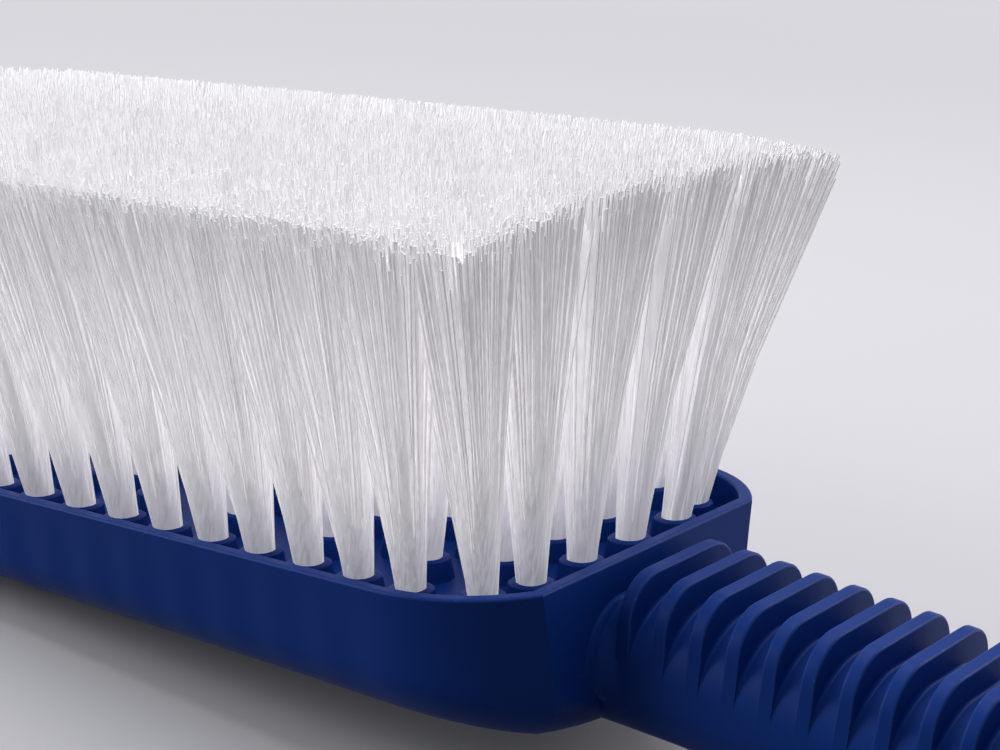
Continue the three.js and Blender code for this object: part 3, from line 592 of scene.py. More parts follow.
def rounded(corners, radius, steps=3):
    """A closed profile with each corner cut by an arc of about that radius."""
    points = []
    for before, corner, after in zip(corners[-1:] + corners[:-1], corners, corners[1:] + corners[:1]):
        start = Vector(corner) + (Vector(before) - Vector(corner)).normalized() * radius
        end = Vector(corner) + (Vector(after) - Vector(corner)).normalized() * radius
        for step in range(steps + 1):
            share = step / steps
            first = start.lerp(Vector(corner), share)
            points.append(tuple(first.lerp(Vector(corner).lerp(end, share), share)))
    return points


def washer(bore, radius, low, thickness, edge_round):
    """A flat ring about Z with rounded edges."""
    high = low + thickness
    return turned(rounded([(bore, low), (radius, low), (radius, high), (bore, high)], edge_round))


def quarter_round(radius, steps=ROUND_STEPS):
    """Steps round a quarter circle: what is left of its one leg, and what is gone of the other."""
    angles = [QUARTER * step / steps for step in range(steps + 1)]
    return [(radius * (1 - math.sin(angle)), radius * (1 - math.cos(angle))) for angle in angles]


def shape_mesh(bm):
    """A loose mesh from a bmesh, for copying."""
    mesh = bpy.data.meshes.new("shape")
    bm.to_mesh(mesh)
    bm.free()
    return mesh


def add_in(mesh, *shapes):
    """Adds loose meshes to a mesh as they are."""
    bm = bmesh.new()
    for part in (mesh, *shapes):
        bm.from_mesh(part)
    bm.to_mesh(mesh)
    bm.free()


# Head

SIDE_STEPS = 112
ARC_STEPS = 10
END_STEPS = 12
WALL_RINGS = 5
EDGE_RINGS = 8
FLOOR_SHRINKS = (0.08, 0.5)
BACK_SHRINKS = (0.86, 0.66, 0.44, 0.22, 0.06)


def corner_setback(head):
    """How far back from the end a corner arc starts."""
    fall = (head.width - head.end_flat) / 2
    return math.sqrt(head.corner_radius ** 2 - (head.corner_radius - fall) ** 2)


def head_outline(head, inset, end_inset):
    """Points round the head's middle: long sides, corner arcs and ends cut flat at two creases."""
    radius = head.corner_radius - inset
    arc_x = head.length / 2 - corner_setback(head)
    arc_y = head.width / 2 - head.corner_radius
    arc = math.asin((corner_setback(head) - end_inset) / radius)
    crease = arc_y + radius * math.cos(arc)
    side = [(arc_x * (2 * step / SIDE_STEPS - 1), arc_y + radius) for step in range(SIDE_STEPS)]
    angles = [arc * step / ARC_STEPS for step in range(ARC_STEPS + 1)]
    corner = [(arc_x + radius * math.sin(a), arc_y + radius * math.cos(a)) for a in angles]
    shares = [1 - 2 * step / END_STEPS for step in range(1, END_STEPS)]
    end = [(head.length / 2 - end_inset, share * crease) for share in shares]
    far_corner = [(x, -y) for x, y in reversed(corner[1:])]
    half = side + corner + end + far_corner
    return half + [(-x, -y) for x, y in half]


def back_depth(head, point):
    """Depth of the trough under a point, deepest in the middle of the handle end."""
    along = max(0, 1 + point.x / head.length)
    across = 1 - head.belly_fall * (2 * point.y / head.width) ** 2
    return head.tip_depth + (head.root_depth - head.tip_depth) * along ** head.belly_rise * across


def head_ring(head, end_inset, draft, height, shrink=1):
    """A ring of the head in its own frame, at a height worked out at each point."""
    slim = 1 - (1 - shrink) * head.width / head.length
    ring = []
    for x, y in head_outline(head, end_inset + draft, end_inset):
        point = Vector((x * slim - head.length / 2, y * shrink, 0))
        point.z = height(point)
        ring.append(point)
    return ring


def level(height):
    """A height that is the same all round."""
    return lambda point: height


def trough_rings(head, tufts):
    """The inside of the head from the chamber's floor up to the rim."""
    chamber = head.wall + head.ledge
    ledge = -tufts.recess - tufts.thickness - tufts.gasket

    def floor(point):
        return head.wall - back_depth(head, point)

    rings = [head_ring(head, chamber, 0, floor, shrink) for shrink in FLOOR_SHRINKS]
    rings.append(head_ring(head, chamber, 0, floor))
    rings.append(head_ring(head, chamber, 0, level(ledge)))
    rings.append(head_ring(head, head.wall, 0, level(ledge)))
    for drop, back in quarter_round(head.rim_round):
        rings.append(head_ring(head, head.wall - back, 0, level(-drop)))
    return rings


def wall_rings(head):
    """The outside of the head from the rim down the leaning walls to the round lower edge."""
    rings = [
        head_ring(head, inset, 0, level(-drop)) for inset, drop in quarter_round(head.rim_round)]

    def wall_height(share):
        return lambda point: -share * (back_depth(head, point) - head.edge_radius)

    def edge_height(lift):
        return lambda point: lift - back_depth(head, point)

    for ring in range(1, WALL_RINGS):
        share = ring / WALL_RINGS
        rings.append(head_ring(head, 0, head.draft * share, wall_height(share)))
    for lift, inset in quarter_round(head.edge_radius, EDGE_RINGS):
        rings.append(head_ring(head, inset, head.draft, edge_height(lift)))
    return rings


def back_rings(head):
    """The crowned back from its edge to the middle."""
    def height(point):
        return -back_depth(head, point)

    return [
        head_ring(head, head.edge_radius, head.draft, height, shrink) for shrink in BACK_SHRINKS]


def fluted(head, tufts, ring):
    """Presses faint upright hollows into the long walls of a ring, one to each tuft."""
    straight = head.length / 2 - corner_setback(head)
    gaps = round(2 * straight / tufts.side_pitch)
    for point in ring:
        along = point.x + head.length / 2
        if abs(along) < straight:
            depth = min(1, -point.z / back_depth(head, point))
            wave = 0.5 - 0.5 * math.cos(math.pi * gaps * (along / straight + 1))
            press = head.flute_depth * wave * math.sin(math.pi * depth)
            point.y -= math.copysign(press, point.y)
    return ring


def head_shell(head, tufts):
    """The trough-shaped head, one skin from the chamber's floor over the rim to the back."""
    outside = [fluted(head, tufts, ring) for ring in wall_rings(head)]
    return sweep(trough_rings(head, tufts) + outside + back_rings(head))


# Handle

LOWER_POINTS = 32
UPPER_POINTS = 48
BLEND_RINGS = 8
NECK_RINGS = 10
BORE_STEPS = 4
ROOT_STATION = -0.005
ALMOST = 0.995
# Share of the way to a wall at which a cut stops, so that the two don't share a face
CLEAR = 0.99


def upper_point(width, top, corner, share):
    """A point of a section's upper half: up one side, round a corner, over the top and down."""
    side = top - corner
    arc = QUARTER * corner
    flat = width - 2 * corner
    run = share * (2 * side + 2 * arc + flat)
    mirror = 1
    if run > side + arc + flat / 2:
        run = 2 * side + 2 * arc + flat - run
        mirror = -1
    if run <= side:
        return mirror * width / 2, run
    if run <= side + arc:
        angle = (run - side) / corner
        return mirror * (width / 2 - corner * (1 - math.cos(angle))), side + corner * math.sin(angle)
    return mirror * (width / 2 - corner - (run - side - arc)), top


def section(width, top, bottom, corner, low_corner):
    """Points of a handle section with rounded lower and upper corners."""
    lower = [
        upper_point(width, bottom, low_corner, step / LOWER_POINTS) for step in range(LOWER_POINTS)]
    upper = [upper_point(width, top, corner, step / UPPER_POINTS) for step in range(UPPER_POINTS)]
    return [(-y, -z) for y, z in lower] + upper


def round_section(radius):
    """Points of a round section."""
    return section(2 * radius, radius, radius, ALMOST * radius, ALMOST * radius)


def blended(first, second, share):
    """A section between two sections."""
    return [Vector(a).lerp(Vector(b), share) for a, b in zip(first, second)]


def laid(handle, station, points):
    """A section's points at a station of the handle's axis."""
    matrix = axis_matrix(handle, station)
    return [matrix @ Vector((0, y, z)) for y, z in points]


def slot_profile(handle, gap):
    """Stations and depth shares across the gap after a rib: rounded edge, wall and rounded foot."""
    depth = handle.top - handle.core_top
    edge = handle.first_rib + gap * handle.rib_pitch + handle.rib_thickness / 2
    far_edge = edge + handle.rib_pitch - handle.rib_thickness
    near = [(-before, low) for before, low in quarter_round(handle.rib_round)]
    near += [(away, depth - above) for above, away in quarter_round(handle.slot_round)]
    there = [(edge + away, low / depth) for away, low in near]
    back = [(far_edge - away, low / depth) for away, low in reversed(near)]
    return there + back


def handle_grip(handle):
    """The ribbed grip, which turns into a round barrel."""
    low = handle.low_corner
    rib = section(handle.width, handle.top, handle.bottom, handle.corner, low)
    core = section(handle.width, handle.core_top, handle.bottom, ALMOST * handle.core_top, low)
    barrel = round_section(handle.barrel)
    rings = [laid(handle, ROOT_STATION, rib)]
    for gap in range(-1, handle.rib_count - 1):
        for station, share in slot_profile(handle, gap):
            rings.append(laid(handle, station, blended(rib, core, share)))
    grip_end = handle.first_rib + (handle.rib_count - 1) * handle.rib_pitch + handle.rib_thickness / 2
    for ring in range(BLEND_RINGS + 1):
        share = ring / BLEND_RINGS
        eased = share * share * (3 - 2 * share)
        rings.append(laid(handle, grip_end + share * handle.blend, blended(rib, barrel, eased)))
    for short, inset in quarter_round(2 * handle.rib_round):
        rings.append(laid(handle, handle.length - short, round_section(handle.barrel - inset)))
    return sweep(rings)


def neck_round(handle, fit):
    """The hollow round where the handle leaves the head."""
    rings = []
    for ring in range(NECK_RINGS + 1):
        away = 1 - ring / NECK_RINGS
        flare = handle.fillet * (1 - math.sqrt(1 - away ** 2))
        top = handle.core_top - fit
        bottom = handle.bottom - fit - 2 * flare
        points = section(handle.width + 2 * flare, top, bottom,
                         ALMOST * top, min(handle.low_corner, ALMOST * bottom))
        if not rings:
            rings.append(laid(handle, ROOT_STATION, points))
        rings.append(laid(handle, handle.fillet * ring / NECK_RINGS, points))
    return sweep(rings)


def water_bore(handle, head):
    """The bore from the water chamber to the barrel's end."""
    points = round_section(handle.bore)
    start = -head.wall - head.ledge - handle.bore
    bend = [handle.droop_run * step / BORE_STEPS for step in range(BORE_STEPS + 1)]
    stations = [start, *bend, handle.length + head.wall]
    return sweep([laid(handle, station, points) for station in stations])


class FLOWBRUSH_OT_body(bpy.types.Operator):
    """Models the head and handle, which are one moulding"""
    bl_idname = "flow_brush.body"
    bl_label = "Head and handle"

    def execute(self, context):
        scene = context.scene
        head, handle = scene.flow_head, scene.flow_handle
        tap, tufts, coupling = scene.flow_tap, scene.flow_tufts, scene.flow_coupling
        tap_frame = axis_matrix(handle, handle.length - tap.from_end)
        end_frame = axis_matrix(handle, handle.length) @ Matrix.Rotation(QUARTER, 4, "Y")
        through = 2 * handle.barrel
        piece = object_from(head_shell(head, tufts), "brush_body", STILL)
        ledge = tufts.recess + tufts.thickness + tufts.gasket
        root_trim = block(
            (2 * head.ledge, head.end_flat - 2 * head.wall, 2 * CLEAR * ledge),
            (-head.wall - (2 - CLEAR) * head.ledge, 0, 0))
        carve(
            piece, STILL,
            joined=[
                neck_round(handle, tufts.fit),
                handle_grip(handle),
                rod(tap.boss_radius, 0, handle.barrel + tap.boss_height, tap_frame),
            ],
            removed=[
                root_trim,
                water_bore(handle, head),
                rod(tap.hole, -through, through, tap_frame),
                rod(tap.pocket_radius, -through, tap.pocket_depth - handle.barrel, tap_frame),
                rod(coupling.tail_radius + tufts.fit, -coupling.tail_depth, tufts.fit, end_frame),
            ])
        piece.data.transform(head_matrix())
        # Marks the tight edges that are painted pale, partly wear and partly a painted highlight
        mark_worn_highlit_edges(piece, handle.worn_highlit_round)
        dress(piece, "brush", "blue_plastic", "body", sharp=20)
        even_shading(piece)
        return {"FINISHED"}


# Tuft plate and bristles

# Rows of the staggered columns, in row pitches from the middle
FOUR_ROWS = (-1.5, -0.5, 0.5, 1.5)
THREE_ROWS = (-1, 0, 1)


def evenly(start, end, pitch):
    """Places from start to end about a pitch apart."""
    steps = max(1, round(abs(end - start) / pitch))
    return [start + (end - start) * step / steps for step in range(steps + 1)]


def inner_columns(head, tufts):
    """Where the columns between the end rows stand."""
    first = head.length / 2 - tufts.end_distance - tufts.column_pitch
    return evenly(-first, first, tufts.column_pitch)


def tuft_places(head, tufts):
    """Tuft places about the middle of the head: a row round the edge and staggered columns."""
    side_y = head.width / 2 - tufts.edge_distance
    end_x = head.length / 2 - tufts.end_distance
    arc_x = head.length / 2 - corner_setback(head)
    arc_y = head.width / 2 - head.corner_radius
    arc_radius = head.corner_radius - tufts.edge_distance
    places = []
    for x in evenly(-arc_x, arc_x, tufts.side_pitch):
        places += [(x, side_y), (x, -side_y)]
    for side in (1, -1):
        corner_x = arc_x + arc_radius * math.sin(tufts.corner_angle)
        corner_y = arc_y + arc_radius * math.cos(tufts.corner_angle)
        places += [(side * corner_x, corner_y), (side * corner_x, -corner_y)]
        places += [(side * end_x, row * tufts.row_pitch) for row in FOUR_ROWS]
    for index, x in enumerate(inner_columns(head, tufts)):
        rows = FOUR_ROWS if index % 2 else THREE_ROWS
        places += [(x, row * tufts.row_pitch) for row in rows]
    return places


def stamp(bm, shape, head, places):
    """Adds copies of a shape at places about the middle of the head."""
    for x, y in places:
        start = len(bm.verts)
        bm.from_mesh(shape)
        bm.verts.ensure_lookup_table()
        bmesh.ops.translate(bm, verts=bm.verts[start:], vec=(x - head.length / 2, y, 0))


COLLAR_SIDES = 12


class FLOWBRUSH_OT_tuft_plate(bpy.types.Operator):
    """Models the plate with a collar round each tuft and its water holes"""
    bl_idname = "flow_brush.tuft_plate"
    bl_label = "Tuft plate"

    def execute(self, context):
        scene = context.scene
        head, tufts = scene.flow_head, scene.flow_tufts
        place = head_matrix()
        top = -tufts.recess
        low = top - tufts.thickness
        lip = top + tufts.collar_height
        hole = tufts.radius + tufts.fit / 2
        round_off = tufts.fit
        rings = [head_ring(head, head.wall + tufts.fit, 0, level(height)) for height in (low, top)]
        piece = object_from(sweep(rings), "tuft_plate_moulding", place)
        places = tuft_places(head, tufts)
        jets = [(x, 0) for index, x in enumerate(inner_columns(head, tufts)) if index % 2]
        holes = bmesh.new()
        for radius, where in ((hole, places), (tufts.jet, jets)):
            stamp(holes, shape_mesh(rod(radius, 2 * low, 0, STILL, COLLAR_SIDES)), head, where)
        carve(piece, place, removed=[holes])
        collar = shape_mesh(turned([
            (tufts.collar_foot, top - round_off),
            (tufts.collar_top + round_off / 2, lip - round_off),
            (tufts.collar_top - round_off, lip),
            (hole + round_off / 2, lip),
            (hole, lip - round_off),
            (hole, top - round_off),
        ], COLLAR_SIDES))
        collars = bmesh.new()
        stamp(collars, collar, head, places)
        bmesh.ops.transform(collars, matrix=place, verts=collars.verts)
        add_in(piece.data, shape_mesh(collars))
        dress(piece, "brush", "blue_plastic", "tuft_plate")
        return {"FINISHED"}


# Shares of a filament's free length at its bends, and how far out it is there
BENDS = ((0.0, 0.0), (0.45, 0.40), (1.0, 1.0))
# The same for the packed middle of a tuft, with the share of its width that is left there
PACKED_BENDS = (
    (-0.04, 0.0, 1.0), (0.45, 0.40, 1.0), (0.86, 0.85, 1.0), (0.91, 0.90, 0.8), (0.93, 0.92, 0.4))
PACKED_SIDES = 14
FILAMENT_SIDES = 3
# Spread of a filament's tip: outwards as a share of the tuft's width, and round it in radians
TIP_SCATTER = 0.10
TIP_TWIST = 0.12
# Edges between the banks, in row pitches from the middle
BANK_EDGES = (-1.25, -0.25, 1.25)
HALVES = {"tip": -1, "root": 1}
BANK_SEEDS = 100


def drawn_in(value, start, room):
    """A distance that fades out to at most start plus room."""
    over = abs(value) - start
    if over <= 0:
        return value
    return math.copysign(start + room * (1 - math.exp(-over / room)), value)


class Tips:
    """Where the tufts' tips lean to, about the middle of the head."""

    def __init__(self, head, tufts):
        self.tufts = tufts
        self.end_x = head.length / 2 - tufts.end_distance
        self.side_y = head.width / 2 - tufts.edge_distance

    def middle(self, place):
        """The middle of a tuft's tip."""
        return (place[0] * (1 + self.tufts.end_flare / self.end_x),
                place[1] * (1 + self.tufts.side_flare / self.side_y))

    def inside(self, x, y):
        """A filament's tip, drawn in softly at the outside of the brush."""
        tufts = self.tufts
        return (drawn_in(x, self.end_x + tufts.end_flare, tufts.tip_room),
                drawn_in(y, self.side_y + tufts.side_flare, tufts.tip_room))


def rise(length, root, end):
    """How high a filament of some length stands when it leans from its root to its end."""
    return math.sqrt(length ** 2 - (end - root).length_squared)


def filament(rng, tufts, tips, place):
    """The bends of one filament, from inside its collar to its tip, about the middle of the head."""
    angle = rng.uniform(0, FULL_TURN)
    out = math.sqrt(rng.random())
    stray = tufts.stray if rng.random() < tufts.stray_share else 1
    root_out = out * tufts.radius
    tip_out = (out + rng.gauss(0, TIP_SCATTER)) * tufts.tip_radius * stray
    tip_angle = angle + rng.gauss(0, TIP_TWIST)
    middle = tips.middle(place)
    root = Vector((place[0] + root_out * math.cos(angle), place[1] + root_out * math.sin(angle)))
    end = Vector(tips.inside(
        middle[0] + tip_out * math.cos(tip_angle), middle[1] + tip_out * math.sin(tip_angle)))
    collar = tufts.collar_height - tufts.recess
    reach = rise(tufts.height - collar - abs(rng.gauss(0, tufts.unevenness)), root, end)
    points = [(root.x, root.y, -tufts.recess)]
    for along, outwards in BENDS:
        bend = root.lerp(end, outwards)
        points.append((bend.x, bend.y, collar + along * reach))
    return points


def packed_middle(tufts, tips, place):
    """The packed middle of a tuft, which its outer filaments cover."""
    middle = tips.middle(place)
    collar = tufts.collar_height - tufts.recess
    rings = []
    for along, outwards, width in PACKED_BENDS:
        ring = []
        for step in range(PACKED_SIDES):
            angle = FULL_TURN * step / PACKED_SIDES
            way = tufts.packed * width * Vector((math.cos(angle), math.sin(angle)))
            root = Vector(place) + tufts.radius * way
            end = Vector(tips.inside(*(Vector(middle) + tufts.tip_radius * way)))
            height = collar + along * rise(tufts.height - collar, root, end)
            ring.append((*root.lerp(end, outwards), height))
        rings.append(ring)
    return sweep(rings)


def curve_object(name, points_of_splines, closed=False):
    """A curve object of straight-sided splines."""
    curve = bpy.data.curves.new(name, "CURVE")
    curve.dimensions = "3D"
    for points in points_of_splines:
        spline = curve.splines.new("POLY")
        spline.points.add(len(points) - 1)
        spline.points.foreach_set("co", [value for point in points for value in (*point, 1)])
        spline.use_cyclic_u = closed
    made = bpy.data.objects.new(name, curve)
    bpy.context.scene.collection.objects.link(made)
    return made


def bristle_mesh(name, head, tufts, places, seed):
    """A mesh of fine three-sided filaments round the packed middles of their tufts."""
    rng = random.Random(seed)
    tips = Tips(head, tufts)
    splines = [filament(rng, tufts, tips, place) for place in places for _ in range(tufts.filaments)]
    angles = [FULL_TURN * corner / FILAMENT_SIDES for corner in range(FILAMENT_SIDES)]
    radius = tufts.filament_radius
    corners = [(radius * math.cos(a), radius * math.sin(a), 0) for a in angles]
    outline = curve_object("outline", [corners], closed=True)
    drawn = curve_object(name, splines)
    drawn.data.bevel_mode = "OBJECT"
    drawn.data.bevel_object = outline
    drawn.data.use_fill_caps = True
    shown = drawn.evaluated_get(bpy.context.evaluated_depsgraph_get())
    mesh = bpy.data.meshes.new_from_object(shown)
    for spent in (drawn, outline):
        curve = spent.data
        bpy.data.objects.remove(spent)
        bpy.data.curves.remove(curve)
    add_in(mesh, *(shape_mesh(packed_middle(tufts, tips, place)) for place in places))
    along = mesh.attributes.new("along", "FLOAT", "POINT")
    along.data.foreach_set("value", [vert.co.z / tufts.height for vert in mesh.vertices])
    mesh.transform(Matrix.Translation((-head.length / 2, 0, 0)))
    return mesh


def bank_of(tufts, y):
    """The number, from nought, of the bank that a tuft belongs to."""
    return sum(y > edge * tufts.row_pitch for edge in BANK_EDGES)


class FLOWBRUSH_OT_bristles(bpy.types.Operator):
    """Draws the filaments of every tuft, two pieces to each bank"""
    bl_idname = "flow_brush.bristles"
    bl_label = "Bristles"

    def execute(self, context):
        scene = context.scene
        head, tufts = scene.flow_head, scene.flow_tufts
        place = head_matrix()
        places = tuft_places(head, tufts)
        for bank in range(len(BANK_EDGES) + 1):
            for half, side in HALVES.items():
                chosen = [
                    (x, y) for x, y in places
                    if bank_of(tufts, y) == bank and (x > 0) == (side > 0)
                ]
                name = f"bristles_{bank + 1}_{half}"
                mesh = bristle_mesh(name, head, tufts, chosen, BANK_SEEDS * bank + side)
                mesh.transform(place)
                piece = bpy.data.objects.new(name, mesh)
                scene.collection.objects.link(piece)
                dress(piece, "brush", "bristle", f"bristle_bank_{bank + 1}", sharp=180)
        return {"FINISHED"}


# Tap and coupling

LEVER_SIDES = 56
SCREW_SIDES = 40
NUT_SIDES = 96
TAIL_SIDES = 64
LOBE_STEPS = 12
NUT_ROUND_STEPS = 4
THREAD_STEPS = 48
THRUST_WASHER_ROUND = 0.0002
HOSE_WASHER_ROUND = 0.0004
# The radius at a turned piece's pole
POLE = 1e-5
# Shares of the screw head's radius at its shoulder and its flat, and of the shank's in the slot
SCREW_SHOULDER = 0.93
SCREW_FLAT = 0.6
SCREW_SLOT = 0.66
# Half the thread's foot in pitches, its crest as a share of its foot, and how much of it is sunk
THREAD_FOOT = 0.42
THREAD_CREST = 0.2
THREAD_SUNK = 0.3


def tap_heights(handle, tap, fit):
    """Heights over the handle's axis of the washer, the hub and the screw's seat."""
    washer = handle.barrel + tap.boss_height + fit
    hub = washer + tap.washer + fit
    top = hub + tap.hub_height
    return {"washer": washer, "hub": hub, "top": top, "stem": hub + tap.stem_length,
            "seat": top - tap.screw_head_height}


def lever_arm(tap, low, high):
    """The lever's tapered arm with round ends, hub and tip, its edges rounded."""
    bm = bmesh.new()
    tip_x = tap.lever_length - tap.lever_tip
    for height in (low, high):
        for x, radius in ((0, tap.hub_radius), (tip_x, tap.lever_tip)):
            bmesh.ops.create_circle(
                bm, segments=LEVER_SIDES, radius=radius, matrix=Matrix.Translation((x, 0, height)))
    hull = bmesh.ops.convex_hull(bm, input=bm.verts[:])
    loose = [part for part in hull["geom_interior"] if isinstance(part, bmesh.types.BMVert)]
    bmesh.ops.delete(bm, geom=loose, context="VERTS")
    bmesh.ops.dissolve_limit(bm, angle_limit=math.radians(1), verts=bm.verts, edges=bm.edges)
    rims = [e for e in bm.edges if e.calc_face_angle(0) > QUARTER / 2]
    bmesh.ops.bevel(
        bm, geom=rims, offset=tap.lever_round, segments=4, profile=0.5, affect="EDGES",
        material=-1)
    return bm


class FLOWBRUSH_OT_tap(bpy.types.Operator):
    """Models the tap lever, its screw and its washer"""
    bl_idname = "flow_brush.tap"
    bl_label = "Tap lever"

    def execute(self, context):
        scene = context.scene
        handle, tap, fit = scene.flow_handle, scene.flow_tap, scene.flow_tufts.fit
        place = head_matrix() @ axis_matrix(handle, handle.length - tap.from_end)
        at = tap_heights(handle, tap, fit)
        above = at["top"] + fit
        arm = lever_arm(tap, at["top"] - tap.lever_thickness, at["top"])
        lever = object_from(arm, "tap_lever_arm", place)
        across = tap.stem + 2 * fit
        socket = block((across, across, at["stem"] + 2 * fit), (0, 0, at["stem"] / 2))
        hub = rod(tap.hub_radius, at["hub"], at["top"] - tap.lever_round, STILL, 2 * LEVER_SIDES)
        carve(lever, place, joined=[hub], removed=[
            socket,
            rod(tap.screw_radius + fit, 0, above, STILL),
            rod(tap.screw_head + fit, at["seat"] - fit, above, STILL),
        ])
        dress(lever, "tap", "blue_plastic", "tap_lever", sharp=30)
        even_shading(lever)
        bore = tap.stem * math.sqrt(0.5) + fit
        ring = washer(bore, tap.washer_radius, at["washer"], tap.washer, THRUST_WASHER_ROUND)
        dress(object_from(ring, "thrust_washer", place), "tap", "grey_plastic", "tap_thrust_washer")
        self.make_screw(tap, at, fit, place)
        return {"FINISHED"}

    def make_screw(self, tap, at, fit, place):
        """The slotted pan-head screw that holds the lever."""
        low = at["stem"] - tap.screw_length + fit
        profile = [
            (POLE, low), (tap.screw_radius, low), (tap.screw_radius, at["seat"]),
            (tap.screw_head, at["seat"]), (tap.screw_head * SCREW_SHOULDER, at["top"] - fit),
            (tap.screw_head * SCREW_FLAT, at["top"]), (POLE, at["top"]),
        ]
        screw = object_from(turned(profile, SCREW_SIDES), "lever_screw_slotted", place)
        slot_size = (3 * tap.screw_head, tap.screw_radius * SCREW_SLOT, tap.screw_head_height)
        carve(screw, place, removed=[block(slot_size, (0, 0, at["top"]))])
        dress(screw, "tap", "steel", "lever_screw", sharp=30)


def nut_heights(coupling, fit):
    """Heights along the handle, from the barrel's end, of the nut and what it holds."""
    slip = coupling.tail_neck - fit - coupling.slip_ring
    lip_high = slip - fit
    low = lip_high - coupling.nut_lip
    washer = coupling.tail_neck + coupling.flange + fit + coupling.filter + fit
    return {"low": low, "lip": lip_high, "high": low + coupling.nut_length, "washer": washer}


def nut_blank(coupling, low, high):
    """The lobed outside of the nut with rounded ends."""
    corner = quarter_round(coupling.nut_round, NUT_ROUND_STEPS)
    levels = [(low + away, inset) for away, inset in reversed(corner)]
    levels += [(high - away, inset) for away, inset in corner]
    steps = LOBE_STEPS * coupling.nut_lobes
    rings = []
    for height, inset in levels:
        ring = []
        for step in range(steps):
            angle = FULL_TURN * step / steps
            wave = coupling.nut_lobe * (math.cos(coupling.nut_lobes * angle) - 1)
            radius = coupling.nut_radius + wave - inset
            ring.append(Vector((radius * math.cos(angle), radius * math.sin(angle), height)))
        rings.append(ring)
    return sweep(rings)


def hose_thread(coupling, low, high):
    """The ridge of the hose thread, a blunt triangle spun along a helix."""
    turns = (high - low) / coupling.thread_pitch
    bm = bmesh.new()
    half = coupling.thread_pitch * THREAD_FOOT
    blunt = half * THREAD_CREST
    foot = coupling.thread_radius + coupling.thread_height * THREAD_SUNK
    crest = coupling.thread_radius - coupling.thread_height
    corners = ((foot, -half), (crest, -blunt), (crest, blunt), (foot, half))
    verts = [bm.verts.new((radius, 0, low + away)) for radius, away in corners]
    edges = [bm.edges.new(pair) for pair in zip(verts, verts[1:] + verts[:1])]
    bm.faces.new(verts)
    spun = bmesh.ops.spin(
        bm, geom=verts + edges, cent=(0, 0, 0), axis=(0, 0, 1), angle=FULL_TURN * turns,
        dvec=(0, 0, coupling.thread_pitch / THREAD_STEPS), steps=round(THREAD_STEPS * turns),
        use_merge=False)
    last = [part for part in spun["geom_last"] if isinstance(part, bmesh.types.BMEdge)]
    bmesh.ops.holes_fill(bm, edges=last)
    face_out(bm)
    return bm


class FLOWBRUSH_OT_coupling(bpy.types.Operator):
    """Models the swivel nut with its hose thread, and the hose washer"""
    bl_idname = "flow_brush.coupling"
    bl_label = "Hose coupling"

    def execute(self, context):
        scene = context.scene
        handle, coupling, fit = scene.flow_handle, scene.flow_coupling, scene.flow_tufts.fit
        place = head_matrix() @ axis_matrix(handle, handle.length) @ Matrix.Rotation(QUARTER, 4, "Y")
        at = nut_heights(coupling, fit)
        nut = object_from(nut_blank(coupling, at["low"], at["high"]), "swivel_nut", place)
        carve(nut, place, removed=[
            rod(coupling.thread_radius, at["lip"], at["high"] + fit, STILL, NUT_SIDES),
            rod(coupling.tail_radius + coupling.run_fit, at["low"] - fit, at["high"], STILL, TAIL_SIDES),
        ])
        thread_low = at["washer"] + coupling.washer + coupling.thread_pitch
        thread = shape_mesh(hose_thread(coupling, thread_low, at["high"] - coupling.thread_pitch))
        thread.transform(place)
        add_in(nut.data, thread)
        dress(nut, "nut", "blue_plastic", "coupling_nut", sharp=30)
        even_shading(nut)
        ring = washer(coupling.washer_bore, coupling.thread_radius - coupling.run_fit, at["washer"],
                      coupling.washer, HOSE_WASHER_ROUND)
        dress(object_from(ring, "hose_washer_ring", place), "brush", "rubber", "hose_washer")
        return {"FINISHED"}


# Solids that stay as they are

KEPT = {
    "rubber": ("plate_gasket", "tap_upper_o_ring", "tap_lower_o_ring", "tail_o_ring"),
    "grey_plastic": ("tap_plug", "tap_seat_front", "tap_seat_rear", "tail_piece", "nut_slip_ring"),
    "steel": ("tap_clip", "filter_screen"),
}


class FLOWBRUSH_OT_inner_parts(bpy.types.Operator):
    """Gives the inner solids, which keep their shapes, their finishes"""
    bl_idname = "flow_brush.inner_parts"
    bl_label = "Inner parts"

    def execute(self, context):
        for slot, nodes in KEPT.items():
            for node in nodes:
                solid = frame["nodes"][node]
                solid.data.materials.clear()
                solid.data.materials.append(finish_for(slot))
        return {"FINISHED"}


# Stage

CAMERA_PLACE = (0.18400, -0.27331, 0.10953)
CAMERA_TURN = 0.661
CAMERA_FALL = 0.2487
CAMERA_ROLL = -0.012
FOCAL_PIXELS = 2331.6
IMAGE_WIDTH = 1000
SENSOR = 36
CLIP_START = 0.01
TABLE_HALF = 6
# Distances at which the table starts and ends its fade into the backdrop
FADE_START = 0.4
FADE_END = 0.85
# Share of its colour with which the table lights the brush
THROWN_BACK = 0.25
BLACK = (0, 0, 0)

# Name, place, aim, size and power of each soft lamp
LAMPS = (
    ("top_soft", (-0.10, 0.20, 1.10), (-0.08, 0, 0.04), 1.3, 14),
    ("left_soft", (-0.95, -0.75, 0.55), (-0.08, 0, 0.05), 0.9, 11),
    ("right_soft", (0.62, 1.15, 0.50), (0.0, 0, 0.05), 0.9, 7),
)


